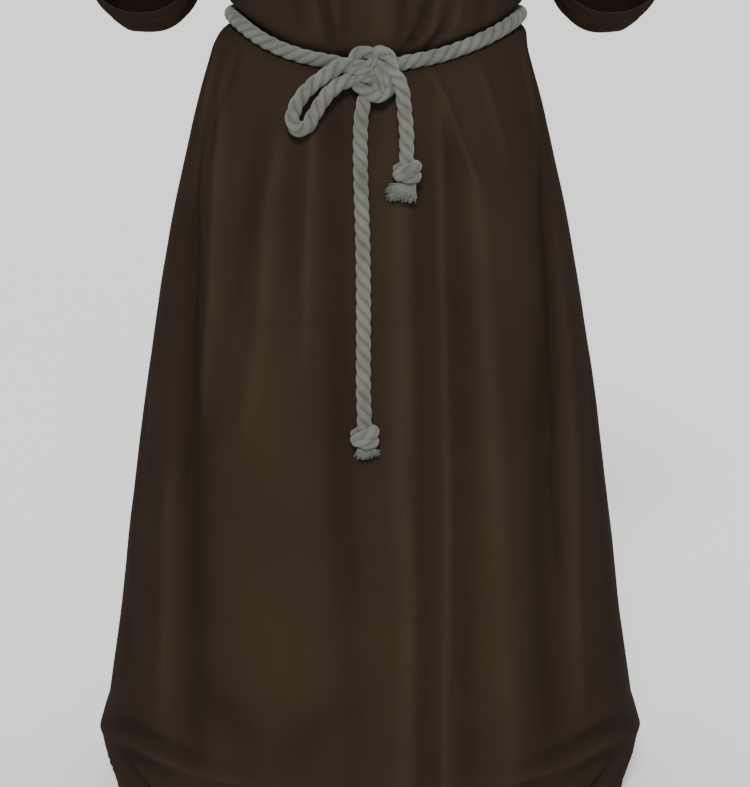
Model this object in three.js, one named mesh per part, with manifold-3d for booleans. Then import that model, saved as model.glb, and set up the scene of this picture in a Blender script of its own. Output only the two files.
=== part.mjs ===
// A monk's robe of plain brown cloth, worn, with a twisted rope tied round the waist.
// Millimetres, +Z up, front towards -Y, wearer's left towards +X.
// The origin is where the shoulders carry the robe: the middle of the neck, level with its sides.
// Heights in the tables are measured up from the hem.

import * as THREE from 'three';
import { mergeVertices } from 'three/addons/utils/BufferGeometryUtils.js';
import Module from 'manifold-3d';

const ROBE_LENGTH = 1480; // hem to the side of the neck
const WALL = 2; // cloth with its seam allowances
const SEAM = 0.3; // between two pieces

// Body of the robe: half width and half depth of its round section, from the hem to the underarm.
const BODY_SECTIONS = [
  { height: 0, halfWidth: 354, halfDepth: 284, square: 2.2 },
  { height: 40, halfWidth: 362, halfDepth: 291, square: 2.2 },
  { height: 87, halfWidth: 372, halfDepth: 294, square: 2.2 },
  { height: 143, halfWidth: 366, halfDepth: 288, square: 2.2 },
  { height: 260, halfWidth: 349, halfDepth: 272, square: 2.2 },
  { height: 404, halfWidth: 332, halfDepth: 254, square: 2.25 },
  { height: 546, halfWidth: 313, halfDepth: 236, square: 2.3 },
  { height: 686, halfWidth: 291, halfDepth: 215, square: 2.3 },
  { height: 811, halfWidth: 269, halfDepth: 195, square: 2.3 },
  { height: 894, halfWidth: 250, halfDepth: 180, square: 2.3 },
  { height: 962, halfWidth: 234, halfDepth: 167, square: 2.3 },
  { height: 1030, halfWidth: 215, halfDepth: 154, square: 2.3 },
  { height: 1080, halfWidth: 203, halfDepth: 150, square: 2.35 },
  { height: 1130, halfWidth: 202, halfDepth: 149, square: 2.4 },
  { height: 1200, halfWidth: 207, halfDepth: 146, square: 2.5 },
];
const UNDERARM = 1200;

// Above the belt the robe stands a little to the wearer's left of the skirt's middle.
const SWAY = { aside: 8, from: 1030, full: 1076 };

// Where the cloth buckles on the floor: a sharp ridge right round, a little above the hem.
const BREAK = { height: 87, out: 8, above: 42, below: 60, frontDrop: 7 };

// The rope sags from the hips to the front and presses the cloth in along its line.
const BELT = { sideHeight: 1080, frontHeight: 1019, radius: 10, pinch: 22, spread: 18, off: 4, flat: 24 };
const BELT_WARP = { from: 800, full: 1000, fade: 1110 };

// Shoulders, neck and armholes.
const SHOULDER = { endAcross: 212, endHeight: 1440, neckAcross: 78, neckHeight: ROBE_LENGTH };
const NECK = { frontHeight: 1402, backHeight: 1464, share: 0.45 };
const ARMHOLE = { widen: 0.28, scoop: 10, rows: 12, ease: 1.6, gap: 0.4 };

// Folds: place round the body in degrees (0 front, + towards the wearer's left, 180 back) at the
// upper and lower end, the heights of those ends, half width of the fold and how far it stands out.
const FOLDS = [
  { upAround: 20, upHeight: 960, lowAround: 20, lowHeight: 0, width: 22, out: 7 },
  { upAround: 13, upHeight: 860, lowAround: 13, lowHeight: 0, width: 14, out: -7 },
  { upAround: 22, upHeight: 1040, lowAround: 34, lowHeight: 780, width: 20, out: 5 },
  { upAround: 30, upHeight: 800, lowAround: 31, lowHeight: 60, width: 34, out: 8 },
  { upAround: 24, upHeight: 760, lowAround: 22, lowHeight: 90, width: 16, out: -5 },
  { upAround: 52, upHeight: 930, lowAround: 46, lowHeight: 200, width: 26, out: -6 },
  { upAround: -55, upHeight: 980, lowAround: -44, lowHeight: 560, width: 28, out: 6 },
  { upAround: -27, upHeight: 990, lowAround: -38, lowHeight: 380, width: 30, out: 5 },
  { upAround: -19, upHeight: 900, lowAround: -18, lowHeight: 420, width: 24, out: 4 },
  { upAround: -10, upHeight: 960, lowAround: -6, lowHeight: 150, width: 26, out: -6 },
  { upAround: -3, upHeight: 420, lowAround: 3, lowHeight: 20, width: 26, out: 5 },
  { upAround: -55, upHeight: 620, lowAround: -47, lowHeight: 100, width: 18, out: -6 },
  { upAround: 57, upHeight: 620, lowAround: 48, lowHeight: 100, width: 18, out: -6 },
  { upAround: -14, upHeight: 1175, lowAround: -11, lowHeight: 1050, width: 12, out: -5 },
  { upAround: 20, upHeight: 1160, lowAround: 18, lowHeight: 1050, width: 12, out: -5 },
  { upAround: 78, upHeight: 1040, lowAround: 70, lowHeight: 820, width: 16, out: 5 },
  { upAround: -77, upHeight: 1040, lowAround: -70, lowHeight: 800, width: 16, out: 5 },
  { upAround: 112, upHeight: 1030, lowAround: 124, lowHeight: 80, width: 30, out: 7 },
  { upAround: 134, upHeight: 1000, lowAround: 138, lowHeight: 140, width: 26, out: -7 },
  { upAround: 150, upHeight: 1040, lowAround: 152, lowHeight: 60, width: 30, out: 8 },
  { upAround: 167, upHeight: 980, lowAround: 166, lowHeight: 200, width: 22, out: -6 },
  { upAround: 181, upHeight: 1040, lowAround: 178, lowHeight: 40, width: 32, out: 7 },
  { upAround: 196, upHeight: 960, lowAround: 194, lowHeight: 120, width: 24, out: -7 },
  { upAround: 211, upHeight: 1030, lowAround: 208, lowHeight: 60, width: 28, out: 8 },
  { upAround: 228, upHeight: 1000, lowAround: 224, lowHeight: 220, width: 24, out: -6 },
  { upAround: 249, upHeight: 1030, lowAround: 238, lowHeight: 80, width: 28, out: 6 },
  { upAround: 160, upHeight: 1180, lowAround: 164, lowHeight: 1050, width: 14, out: -5 },
  { upAround: 201, upHeight: 1180, lowAround: 197, lowHeight: 1050, width: 14, out: -5 },
];
const FOLD_FADE = 110;

// Seams down the body. The front seam runs off centre; the side gores taper up to the belt.
const FRONT_SEAM = [
  { height: 0, across: 62 },
  { height: 840, across: 61 },
  { height: 1000, across: 50 },
  { height: 1200, across: 10 },
];
const GORE_TOP = 1040;
const GORE_SEAM = [
  { height: 0, around: 44.7 },
  { height: 110, around: 43.4 },
  { height: 260, around: 45.5 },
  { height: 433, around: 47.2 },
  { height: 546, around: 48.7 },
  { height: 756, around: 54.3 },
  { height: 935, around: 65 },
  { height: GORE_TOP, around: 89.7 },
];

// Rows of the skirt and bodice, as heights at the side of the robe.
const SKIRT_ROWS = [
  0, 18, 40, 64, 87, 102, 120, 150, 205, 275, 350, 425, 500, 575, 650, 725, 795, 855, 905, 950, 985,
  1015, GORE_TOP,
];
const BODICE_ROWS = [1040, 1054, 1064, 1073, 1080, 1087, 1096, 1108, 1126, 1160, UNDERARM];

// Sleeve: rings beyond the armhole. Centre (out from the middle, forward, height), heading as degrees
// turned from sideways to forwards, half width, half height, and how far its foot swings forwards.
const SLEEVE_RINGS = [
  { out: 246, forward: 0, height: 1283, turn: 22, halfWidth: 84, halfHeight: 126, kick: 4 },
  { out: 280, forward: 14, height: 1236, turn: 45, halfWidth: 86, halfHeight: 138, kick: 10 },
  { out: 298, forward: 58, height: 1199, turn: 66, halfWidth: 86, halfHeight: 140, kick: 14 },
  { out: 305, forward: 108, height: 1187, turn: 78, halfWidth: 84, halfHeight: 122, kick: 6 },
  { out: 308, forward: 152, height: 1186, turn: 80, halfWidth: 80, halfHeight: 100, kick: -10 },
];
const SLEEVE_STEPS = 10;
const SLEEVE_SQUARE = 2.3;

// Rope ends. Points are [across, forward of the middle, height above the hem].
const ROPE_SIDES = 10;
const ROPE_STEP = 30;
const BELT_ENDS = { around: 13, steps: 34, stub: 22 };
const BELT_INTO_KNOT = [[10, 166, 1012], [24, 153, 1017]];
const BOW_ROUTE = [
  [-10, 180, 1016], [-24, 182, 1021], [-38, 183, 1019], [-55, 183, 1009], [-74, 183, 995],
  [-90, 183, 979], [-99, 183, 962], [-101, 184, 948], [-94, 184, 938], [-82, 184, 940],
  [-70, 183, 954], [-57, 183, 973], [-43, 183, 990], [-28, 183, 1000], [-10, 181, 1002],
];
const BOW_STUB = 30;
const SHORT_ROUTE = [
  [12, 180, 1008], [24, 186, 1011], [34, 190, 1006], [41, 192, 993], [44, 192, 975],
  [46, 193, 955], [48, 196, 932], [48, 200, 908], [49, 205, 880],
];
const LONG_ROUTE = [
  [2, 178, 1000], [-4, 183, 985], [-8, 185, 970], [-11, 185, 950], [-12, 188, 910],
  [-11, 197, 860], [-9, 207, 800], [-8, 218.5, 730], [-8, 229, 660], [-8, 238, 600],
  [-7, 244, 572], [-6, 256, 540],
];
const END_STUB = { short: 50, long: 48, stopper: 29 };

// Strands of the waist knot, each a short bend of rope pressed against the others.
const KNOT_STRANDS = [
  [[-23, 166, 1012], [-20, 176, 1028], [-10, 180, 1036], [0, 178, 1030], [6, 168, 1016]],
  [[4, 168, 1018], [9, 180, 1033], [19, 184, 1036], [26, 186, 1026], [27, 187, 1010], [22, 184, 996]],
  [[14, 178, 1024], [13, 192, 1016], [12, 195, 1004], [9, 190, 992], [6, 178, 988]],
  [[24, 176, 998], [23, 187, 987], [12, 190, 981], [-3, 189, 984], [-14, 182, 992], [-14, 170, 1000]],
  [[-24, 172, 1008], [-18, 186, 1008], [-6, 193, 1005], [5, 190, 1008], [12, 178, 1010]],
  [[-20, 172, 1022], [-14, 186, 1022], [-2, 192, 1018], [8, 187, 1022], [14, 176, 1024]],
];
const KNOT_CORE = { across: 2, forward: 170, height: 1008, halfWidth: 22, halfDepth: 13, halfHeight: 24 };
const STRAND_RADIUS = 9;
const STRAND_SIDES = 8;
const STOPPER = { ring: 11, tube: 8.2, tilts: [18, -32], rise: 9 };
const FRAYS = {
  short: { strands: 46, length: 27, root: 9, spread: 34, lean: [-14, -8] },
  long: { strands: 30, length: 15, root: 8, spread: 40, lean: [16, -6] },
};
const YARN = { backing: 4, radius: 1, flatness: 0.6, uneven: 0.18, wander: 2.4 };

const wasm = await Module();
wasm.setup();

const clothColours = { panel: 0x3a2e22, gore: 0x3c3024, sleeve: 0x3a2e22 };
const rope = new THREE.MeshStandardMaterial({ color: 0x8b8d86, roughness: 0.9, metalness: 0 });
const cloth = (colour) => new THREE.MeshStandardMaterial({ color: colour, roughness: 0.85, metalness: 0 });

const mix = (a, b, t) => a + (b - a) * t;
const radians = (degrees) => degrees * Math.PI / 180;
const ease = (t) => THREE.MathUtils.smoothstep(t, 0, 1);

// A column of a table at a height, on a smooth curve through its rows.
function lookUp(rows, column, height) {
  let row = 0;
  while (row < rows.length - 2 && height > rows[row + 1].height) row += 1;
  const slope = (a, b) => (rows[b][column] - rows[a][column]) / (rows[b].height - rows[a].height);
  const span = rows[row + 1].height - rows[row].height;
  const here = slope(row, row + 1);
  const before = row > 0 ? (slope(row - 1, row) + here) / 2 : here;
  const after = row < rows.length - 2 ? (slope(row + 1, row + 2) + here) / 2 : here;
  const t = THREE.MathUtils.clamp((height - rows[row].height) / span, 0, 1);
  const low = rows[row][column] + (before * t * (1 - t) * (1 - t)) * span;
  const high = (rows[row + 1][column] - rows[row][column]) * t * t * (3 - 2 * t);
  return low + high - (after * t * t * (1 - t)) * span;
}

const sectionAt = (height) => ({
  halfWidth: lookUp(BODY_SECTIONS, 'halfWidth', height),
  halfDepth: lookUp(BODY_SECTIONS, 'halfDepth', height),
  square: lookUp(BODY_SECTIONS, 'square', height),
});

// The place round the section, in radians, of a point that far across the front.
function aroundAt(across, halfWidth, square) {
  const share = Math.min(0.999999, (Math.abs(across) / halfWidth) ** square);
  return Math.sign(across) * Math.atan((share / (1 - share)) ** (1 / square));
}

// A point on a squarish round of half width and half depth 1.
function unitRound(around, square) {
  const across = Math.sin(around);
  const forward = Math.cos(around);
  const reach = (Math.abs(across) ** square + Math.abs(forward) ** square) ** (-1 / square);
  return { across: across * reach, forward: forward * reach };
}

function beltHeight(around) {
  if (Math.cos(around) <= 0) return BELT.sideHeight;
  const { across } = unitRound(around, 2.3);
  return mix(BELT.frontHeight, BELT.sideHeight, across * across);
}

// Rows bend down to follow the rope, and the break dips at the front.
function rowHeight(around, height) {
  const rise = ease((height - BELT_WARP.from) / (BELT_WARP.full - BELT_WARP.from));
  const fall = 1 - ease((height - BELT_WARP.fade) / (UNDERARM - BELT_WARP.fade));
  const sag = (BELT.sideHeight - beltHeight(around)) * rise * fall;
  const nearBreak = 1 - ease(Math.abs(height - BREAK.height) / BREAK.height);
  const dip = BREAK.frontDrop * Math.max(0, Math.cos(around)) ** 2 * nearBreak;
  return height - sag - dip;
}

function foldOut(around, height, girth) {
  let total = 0;
  for (const fold of FOLDS) {
    const along = (height - fold.lowHeight) / (fold.upHeight - fold.lowHeight);
    const middle = radians(mix(fold.lowAround, fold.upAround, THREE.MathUtils.clamp(along, 0, 1)));
    let aside = around - middle;
    aside -= 2 * Math.PI * Math.round(aside / (2 * Math.PI));
    const fromTop = ease((fold.upHeight - height) / FOLD_FADE + 0.5);
    const fromFoot = fold.lowHeight < FOLD_FADE ? 1 : ease((height - fold.lowHeight) / FOLD_FADE + 0.5);
    total += fold.out * Math.exp(-((aside * girth / fold.width) ** 2)) * fromTop * fromFoot;
  }
  const underRope = Math.exp(-(((height - beltHeight(around)) / BELT.flat) ** 2));
  return total * (1 - underRope);
}

// Outer face of the skirt and bodice, with the outward direction its wall is measured along.
function bodyAt(around, height) {
  const { halfWidth, halfDepth, square } = sectionAt(height);
  const { across, forward } = unitRound(around, square);
  const outward = new THREE.Vector3(
    Math.sign(across) * Math.abs(across) ** (square - 1) / halfWidth,
    -Math.sign(forward) * Math.abs(forward) ** (square - 1) / halfDepth,
    0,
  ).normalize();
  const ridge = BREAK.height - BREAK.frontDrop * Math.max(0, Math.cos(around)) ** 2;
  const fromBreak = height - ridge;
  const reach = fromBreak > 0 ? BREAK.above : BREAK.below;
  let out = BREAK.out * Math.max(0, 1 - Math.abs(fromBreak) / reach);
  out -= BELT.pinch * Math.exp(-(((height - beltHeight(around)) / BELT.spread) ** 2));
  out += foldOut(around, height, (halfWidth + halfDepth) / 2);
  const point = new THREE.Vector3(halfWidth * across, -halfDepth * forward, height - ROBE_LENGTH);
  point.x += SWAY.aside * ease((height - SWAY.from) / (SWAY.full - SWAY.from));
  return { point: point.addScaledVector(outward, out), outward };
}

// Upper edge of a column: on the neckline near the middle, on the shoulder seam further out.
function topEdge(share, frontHeight) {
  if (share < NECK.share) {
    const turn = share / NECK.share * Math.PI / 2;
    return {
      across: SHOULDER.neckAcross * Math.sin(turn),
      height: mix(frontHeight, SHOULDER.neckHeight, 1 - Math.cos(turn)),
    };
  }
  const along = (share - NECK.share) / (1 - NECK.share);
  return {
    across: mix(SHOULDER.neckAcross, SHOULDER.endAcross, along),
    height: mix(SHOULDER.neckHeight, SHOULDER.endHeight, along),
  };
}

const shoulderSlope = (SHOULDER.neckHeight - SHOULDER.endHeight) / (SHOULDER.endAcross - SHOULDER.neckAcross);
const shoulderLine = (across) => SHOULDER.endHeight + (SHOULDER.endAcross - across) * shoulderSlope;

// Outer face above the underarm, where front and back close towards the shoulder seam. The climb is
// 0 at the underarm and 1 at the upper edge.
function yokeAt(around, climb) {
  const foot = BODY_SECTIONS[BODY_SECTIONS.length - 1];
  const { square } = foot;
  const isFront = Math.cos(around) > 0;
  const side = Math.sign(Math.sin(around)) || 1;
  const share = Math.abs(isFront ? around : Math.PI - Math.abs(around)) / (Math.PI / 2);
  const start = unitRound(around, square);
  const top = topEdge(share, isFront ? NECK.frontHeight : NECK.backHeight);
  const scoop = ARMHOLE.scoop * Math.sin(Math.PI * climb) * share ** 6;
  const across = mix(Math.abs(start.across) * foot.halfWidth, top.across, climb) - scoop;
  const rise = (edge, at) => (edge - UNDERARM) / (shoulderLine(at) - UNDERARM);
  const lean = climb * Math.asin(Math.min(1, rise(top.height, top.across)));
  const tall = shoulderLine(across) - UNDERARM;
  const height = UNDERARM + tall * Math.sin(lean);
  const wide = foot.halfWidth + ARMHOLE.widen * (height - UNDERARM);
  const ratio = Math.min(1, across / wide);
  const depth = (1 - ratio ** square) ** (1 / square);
  const outwardX = ratio ** (square - 1) / wide * Math.cos(lean) ** 2
    + depth ** square * Math.sin(lean) ** 2 * shoulderSlope / tall;
  const outwardY = depth ** (square - 1) / foot.halfDepth * Math.cos(lean);
  const outwardZ = depth ** square * Math.sin(lean) / tall;
  const facing = isFront ? -1 : 1;
  const forward = foot.halfDepth * depth * Math.cos(lean) + SEAM / 2 * Math.sin(lean);
  return {
    point: new THREE.Vector3(side * across + SWAY.aside, facing * forward, height - ROBE_LENGTH),
    outward: new THREE.Vector3(side * outwardX, facing * outwardY, outwardZ).normalize(),
  };
}

const climbs = Array.from({ length: ARMHOLE.rows + 1 }, (_, k) => (k / ARMHOLE.rows) ** ARMHOLE.ease);

// A closed wall from rows of outer points and their inner partners. Rows run upwards and points run
// left to right as seen from outside; a ring closes on itself.
function wallMesh(outer, inner, ring) {
  const rows = outer.length;
  const wide = outer[0].length;
  const positions = [];
  for (const sheet of [outer, inner]) {
    for (const row of sheet) {
      for (const p of row) positions.push(p.x, p.y, p.z);
    }
  }
  const at = (row, column, layer) => (layer * rows + row) * wide + (column % wide);
  const index = [];
  const face = (a, b, c, d) => index.push(a, b, c, a, c, d);
  const columns = ring ? wide : wide - 1;
  for (let row = 0; row < rows - 1; row += 1) {
    for (let column = 0; column < columns; column += 1) {
      const next = column + 1;
      face(at(row, column, 0), at(row, next, 0), at(row + 1, next, 0), at(row + 1, column, 0));
      face(at(row, column, 1), at(row + 1, column, 1), at(row + 1, next, 1), at(row, next, 1));
    }
  }
  const last = rows - 1;
  for (let column = 0; column < columns; column += 1) {
    const next = column + 1;
    face(at(0, column, 1), at(0, next, 1), at(0, next, 0), at(0, column, 0));
    face(at(last, column, 0), at(last, next, 0), at(last, next, 1), at(last, column, 1));
  }
  if (!ring) {
    for (let row = 0; row < last; row += 1) {
      face(at(row, 0, 0), at(row + 1, 0, 0), at(row + 1, 0, 1), at(row, 0, 1));
      face(at(row, wide - 1, 1), at(row + 1, wide - 1, 1), at(row + 1, wide - 1, 0), at(row, wide - 1, 0));
    }
  }
  const geometry = new THREE.BufferGeometry();
  geometry.setAttribute('position', new THREE.Float32BufferAttribute(positions, 3));
  geometry.setIndex(index);
  geometry.computeVertexNormals();
  return geometry;
}

// Half a seam's gap, as a turn round the body.
function seamInset(around, height) {
  const { halfWidth, halfDepth, square } = sectionAt(height);
  const step = 0.01;
  const a = unitRound(around - step, square);
  const b = unitRound(around + step, square);
  const run = Math.hypot((b.across - a.across) * halfWidth, (b.forward - a.forward) * halfDepth);
  return SEAM / 2 * (2 * step / run);
}

// A panel between two seams. Each edge gives a place round the body for a height.
function panel(name, colour, leftEdge, rightEdge, columns, rows, withYoke) {
  const outer = [];
  const inner = [];
  const addRow = (place) => {
    const samples = Array.from({ length: columns + 1 }, (_, k) => place(k / columns));
    outer.push(samples.map((s) => s.point));
    inner.push(samples.map((s) => s.point.clone().addScaledVector(s.outward, -WALL)));
  };
  const edges = (height) => {
    const [from, to] = [leftEdge(height), rightEdge(height)];
    return [from + seamInset(from, height), to - seamInset(to, height)];
  };
  for (const height of rows) {
    const [from, to] = edges(height);
    addRow((share) => {
      const around = mix(from, to, share);
      return bodyAt(around, rowHeight(around, height));
    });
  }
  if (withYoke) {
    const [from, to] = edges(UNDERARM);
    for (const climb of climbs.slice(1)) addRow((share) => yokeAt(mix(from, to, share), climb));
  }
  const mesh = new THREE.Mesh(wallMesh(outer, inner, false), cloth(colour));
  mesh.name = name;
  return mesh;
}

const SIDE = Math.PI / 2;
function seamAround(across, height) {
  const { halfWidth, square } = sectionAt(height);
  return aroundAt(across, halfWidth, square);
}
const goreSeam = (height) => (
  height > GORE_TOP ? SIDE : radians(lookUp(GORE_SEAM, 'around', height))
);
const frontSeam = (height) => seamAround(lookUp(FRONT_SEAM, 'across', height), height);

const bodyRows = [...SKIRT_ROWS, ...BODICE_ROWS.slice(1)];
const robe = new THREE.Group();

robe.add(panel('front_right', clothColours.panel, (h) => -goreSeam(h), frontSeam, 15, bodyRows, true));
robe.add(panel('front_left', clothColours.panel, frontSeam, goreSeam, 9, bodyRows, true));
robe.add(panel(
  'back', clothColours.panel,
  (h) => Math.PI - goreSeam(h), (h) => Math.PI + goreSeam(h), 18, bodyRows, true,
));
robe.add(panel('gore_left', clothColours.gore, goreSeam, (h) => Math.PI - goreSeam(h), 6, SKIRT_ROWS, false));
robe.add(panel('gore_right', clothColours.gore, (h) => goreSeam(h) - Math.PI, (h) => -goreSeam(h), 6,
  SKIRT_ROWS, false));

// A sleeve ring as points that start at the foot of the armhole and run round by the front.
function sleeveRing(side, row) {
  const turn = radians(row.turn);
  const points = [];
  for (let k = 0; k < 2 * ARMHOLE.rows; k += 1) {
    const round = Math.PI * k / ARMHOLE.rows;
    const full = unitRound(round, SLEEVE_SQUARE);
    const aside = full.across * row.halfWidth;
    const drop = full.forward * row.halfHeight;
    const forward = row.forward + aside * Math.cos(turn) + full.forward * row.kick;
    const out = row.out - aside * Math.sin(turn);
    points.push(new THREE.Vector3(side * out + SWAY.aside, -forward, row.height - drop - ROBE_LENGTH));
  }
  return points;
}

function armholeRing(side) {
  const inset = seamInset(SIDE, UNDERARM);
  const points = [];
  for (let k = 0; k < 2 * ARMHOLE.rows; k += 1) {
    const isFront = k <= ARMHOLE.rows;
    const climb = climbs[isFront ? k : 2 * ARMHOLE.rows - k];
    const around = side * (isFront ? SIDE - inset : SIDE + inset);
    const { point } = yokeAt(around, climb);
    if (climb === 0 || climb === 1) point.y = 0;
    point.x += side * ARMHOLE.gap;
    point.z += ARMHOLE.gap * (1 - climb);
    points.push(point);
  }
  return points;
}

function sleeve(name, side) {
  const keys = [armholeRing(side), ...SLEEVE_RINGS.map((row) => sleeveRing(side, row))];
  const count = keys[0].length;
  const lines = keys[0].map((_, k) => new THREE.CatmullRomCurve3(keys.map((ring) => ring[k])));
  const outer = [];
  for (let step = 0; step <= SLEEVE_STEPS; step += 1) {
    outer.push(lines.map((line) => line.getPoint(step / SLEEVE_STEPS)));
  }
  const inner = outer.map((ring) => {
    const middle = ring.reduce((sum, p) => sum.add(p), new THREE.Vector3()).divideScalar(count);
    return ring.map((p, k) => {
      const before = ring[(k + count - 1) % count];
      const after = ring[(k + 1) % count];
      const run = after.clone().sub(before).normalize();
      const inward = middle.clone().sub(p);
      inward.addScaledVector(run, -inward.dot(run)).normalize();
      return p.clone().addScaledVector(inward, WALL);
    });
  });
  const flip = (sheet) => sheet.map((ring) => [...ring].reverse());
  const turned = side > 0;
  const geometry = wallMesh(turned ? flip(outer) : outer, turned ? flip(inner) : inner, true);
  const mesh = new THREE.Mesh(geometry, cloth(clothColours.sleeve));
  mesh.name = name;
  return mesh;
}
robe.add(sleeve('sleeve_right', -1));
robe.add(sleeve('sleeve_left', 1));

// Rope. A round section run along a stretch of a smooth route, in millimetres along it.
class Stretch extends THREE.Curve {
  constructor(route, from, to) {
    super();
    this.route = route;
    this.from = from / route.getLength();
    this.to = to / route.getLength();
  }

  getPoint(t, target = new THREE.Vector3()) {
    return this.route.getPointAt(mix(this.from, this.to, t), target);
  }
}

function roundSection(radius, sides) {
  const section = new THREE.Shape();
  for (let k = 0; k < sides; k += 1) {
    const angle = 2 * Math.PI * k / sides;
    const corner = [radius * Math.cos(angle), radius * Math.sin(angle)];
    if (k === 0) section.moveTo(...corner);
    else section.lineTo(...corner);
  }
  return section;
}

function ropeGeometry(route, from, to) {
  const section = roundSection(BELT.radius, ROPE_SIDES);
  const steps = Math.max(2, Math.ceil((to - from) / ROPE_STEP));
  const extrudePath = new Stretch(route, from, to);
  return new THREE.ExtrudeGeometry(section, { extrudePath, steps, bevelEnabled: false });
}

function bentStrand(route) {
  const steps = route.points.length + 1;
  return new THREE.ExtrudeGeometry(
    roundSection(STRAND_RADIUS, STRAND_SIDES),
    { extrudePath: route, steps, bevelEnabled: false },
  );
}

function addRope(name, geometry) {
  const mesh = new THREE.Mesh(geometry, rope);
  mesh.name = name;
  robe.add(mesh);
}

const place = ([across, forward, height]) => new THREE.Vector3(across, -forward, height - ROBE_LENGTH);
const routeThrough = (points) => new THREE.CatmullRomCurve3(points, false, 'centripetal');
const routeOf = (points) => routeThrough(points.map(place));

function asSolid(geometry) {
  const plain = geometry.clone();
  plain.deleteAttribute('normal');
  plain.deleteAttribute('uv');
  const merged = mergeVertices(plain, 0.001);
  return new wasm.Manifold(new wasm.Mesh({
    numProp: 3,
    vertProperties: new Float32Array(merged.attributes.position.array),
    triVerts: new Uint32Array(merged.index.array),
  }));
}

function joined(geometries) {
  let solid = asSolid(geometries[0]);
  for (const geometry of geometries.slice(1)) solid = solid.add(asSolid(geometry));
  const mesh = solid.getMesh();
  const geometry = new THREE.BufferGeometry();
  geometry.setAttribute('position', new THREE.Float32BufferAttribute(mesh.vertProperties, 3));
  geometry.setIndex(Array.from(mesh.triVerts));
  geometry.computeVertexNormals();
  return geometry;
}

// Belt: out of the knot, round just outside the pressed-in cloth, and back into the knot.
function beltRoute() {
  const points = BELT_INTO_KNOT.map(place);
  for (let k = 0; k <= BELT_ENDS.steps; k += 1) {
    const around = radians(mix(BELT_ENDS.around, 360 - BELT_ENDS.around, k / BELT_ENDS.steps));
    const { point, outward } = bodyAt(around, beltHeight(around));
    points.push(point.addScaledVector(outward, BELT.radius + BELT.off));
  }
  const mirrored = ([across, forward, height]) => place([-across, forward, height]);
  points.push(...[...BELT_INTO_KNOT].reverse().map(mirrored));
  return routeThrough(points);
}

const belt = beltRoute();
const bow = routeOf(BOW_ROUTE);
const shortEnd = routeOf(SHORT_ROUTE);
const longEnd = routeOf(LONG_ROUTE);
const beltLength = belt.getLength();
const bowLength = bow.getLength();
addRope('rope_belt', ropeGeometry(belt, BELT_ENDS.stub, beltLength - BELT_ENDS.stub));
addRope('rope_bow', ropeGeometry(bow, BOW_STUB, bowLength - BOW_STUB));

// Waist knot: its own strands round a core, and the roots of the five ropes that leave it.
function waistKnot() {
  const core = new THREE.SphereGeometry(1, 10, 6);
  core.scale(KNOT_CORE.halfWidth, KNOT_CORE.halfDepth, KNOT_CORE.halfHeight);
  core.translate(...place([KNOT_CORE.across, KNOT_CORE.forward, KNOT_CORE.height]));
  const strands = KNOT_STRANDS.map((points) => bentStrand(routeOf(points)));
  return joined([
    core,
    ...strands,
    ropeGeometry(belt, 0, BELT_ENDS.stub - SEAM),
    ropeGeometry(belt, beltLength - BELT_ENDS.stub + SEAM, beltLength),
    ropeGeometry(bow, 0, BOW_STUB - SEAM),
    ropeGeometry(bow, bowLength - BOW_STUB + SEAM, bowLength),
    ropeGeometry(shortEnd, 0, END_STUB.short - SEAM),
    ropeGeometry(longEnd, 0, END_STUB.long - SEAM),
  ]);
}
addRope('rope_knot', waistKnot());

// Stopper knot: two tilted turns round the end of the rope.
function stopper(route) {
  const length = route.getLength();
  const end = route.getPointAt(1);
  const turns = STOPPER.tilts.map((tilt, k) => {
    const turn = new THREE.TorusGeometry(STOPPER.ring, STOPPER.tube, 8, 12);
    turn.rotateY(radians(tilt));
    turn.translate(end.x, end.y, end.z + k * STOPPER.rise);
    return turn;
  });
  return joined([...turns, ropeGeometry(route, length - END_STUB.stopper + SEAM, length)]);
}

// Frayed tip: yarn ends fanned out of a small round backing under the stopper.
function fray(route, tuft) {
  const end = route.getPointAt(1);
  const top = end.z - STOPPER.tube - STOPPER.ring * Math.sin(radians(STOPPER.tilts[0])) - SEAM;
  const backing = new THREE.CylinderGeometry(tuft.root, tuft.root, YARN.backing, 12);
  backing.rotateX(Math.PI / 2);
  const pieces = [backing];
  const golden = Math.PI * (3 - Math.sqrt(5));
  for (let k = 0; k < tuft.strands; k += 1) {
    const share = Math.sqrt((k + 0.5) / tuft.strands);
    const round = golden * k;
    const length = tuft.length * (1 - YARN.uneven * (1 + Math.sin(YARN.wander * k)) / 2);
    const strand = new THREE.ConeGeometry(YARN.radius, length, 3);
    strand.translate(0, length / 2, 0);
    const lean = radians(tuft.spread * share);
    const direction = new THREE.Vector3(
      Math.cos(round) * Math.sin(lean) + Math.sin(radians(tuft.lean[0])),
      Math.sin(round) * Math.sin(lean) * YARN.flatness + Math.sin(radians(tuft.lean[1])),
      -Math.cos(lean),
    ).normalize();
    strand.applyQuaternion(new THREE.Quaternion().setFromUnitVectors(new THREE.Vector3(0, 1, 0), direction));
    const root = (tuft.root - YARN.radius) * share;
    strand.translate(Math.cos(round) * root, Math.sin(round) * root, 0);
    pieces.push(strand);
  }
  const geometry = joined(pieces);
  geometry.translate(end.x, end.y, top - YARN.backing / 2);
  return geometry;
}

for (const [name, route] of [['short', shortEnd], ['long', longEnd]]) {
  const length = route.getLength();
  addRope(`rope_${name}`, ropeGeometry(route, END_STUB[name], length - END_STUB.stopper));
  addRope(`${name}_knot`, stopper(route));
  addRope(`${name}_fray`, fray(route, FRAYS[name]));
}

export default robe;
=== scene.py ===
# %% [markdown]
# A monk's robe in dark brown cloth, in the shape that it has in use, with a twisted cotton rope
# tied round the waist. Every piece is modelled here in metres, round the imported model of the
# same robe. The tables below are in millimetres, the way a pattern cutter would note them.

# %% Load the frame
import math
from collections import namedtuple
from functools import lru_cache

import bmesh
import bpy
from mathutils import Matrix, Vector, noise


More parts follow.
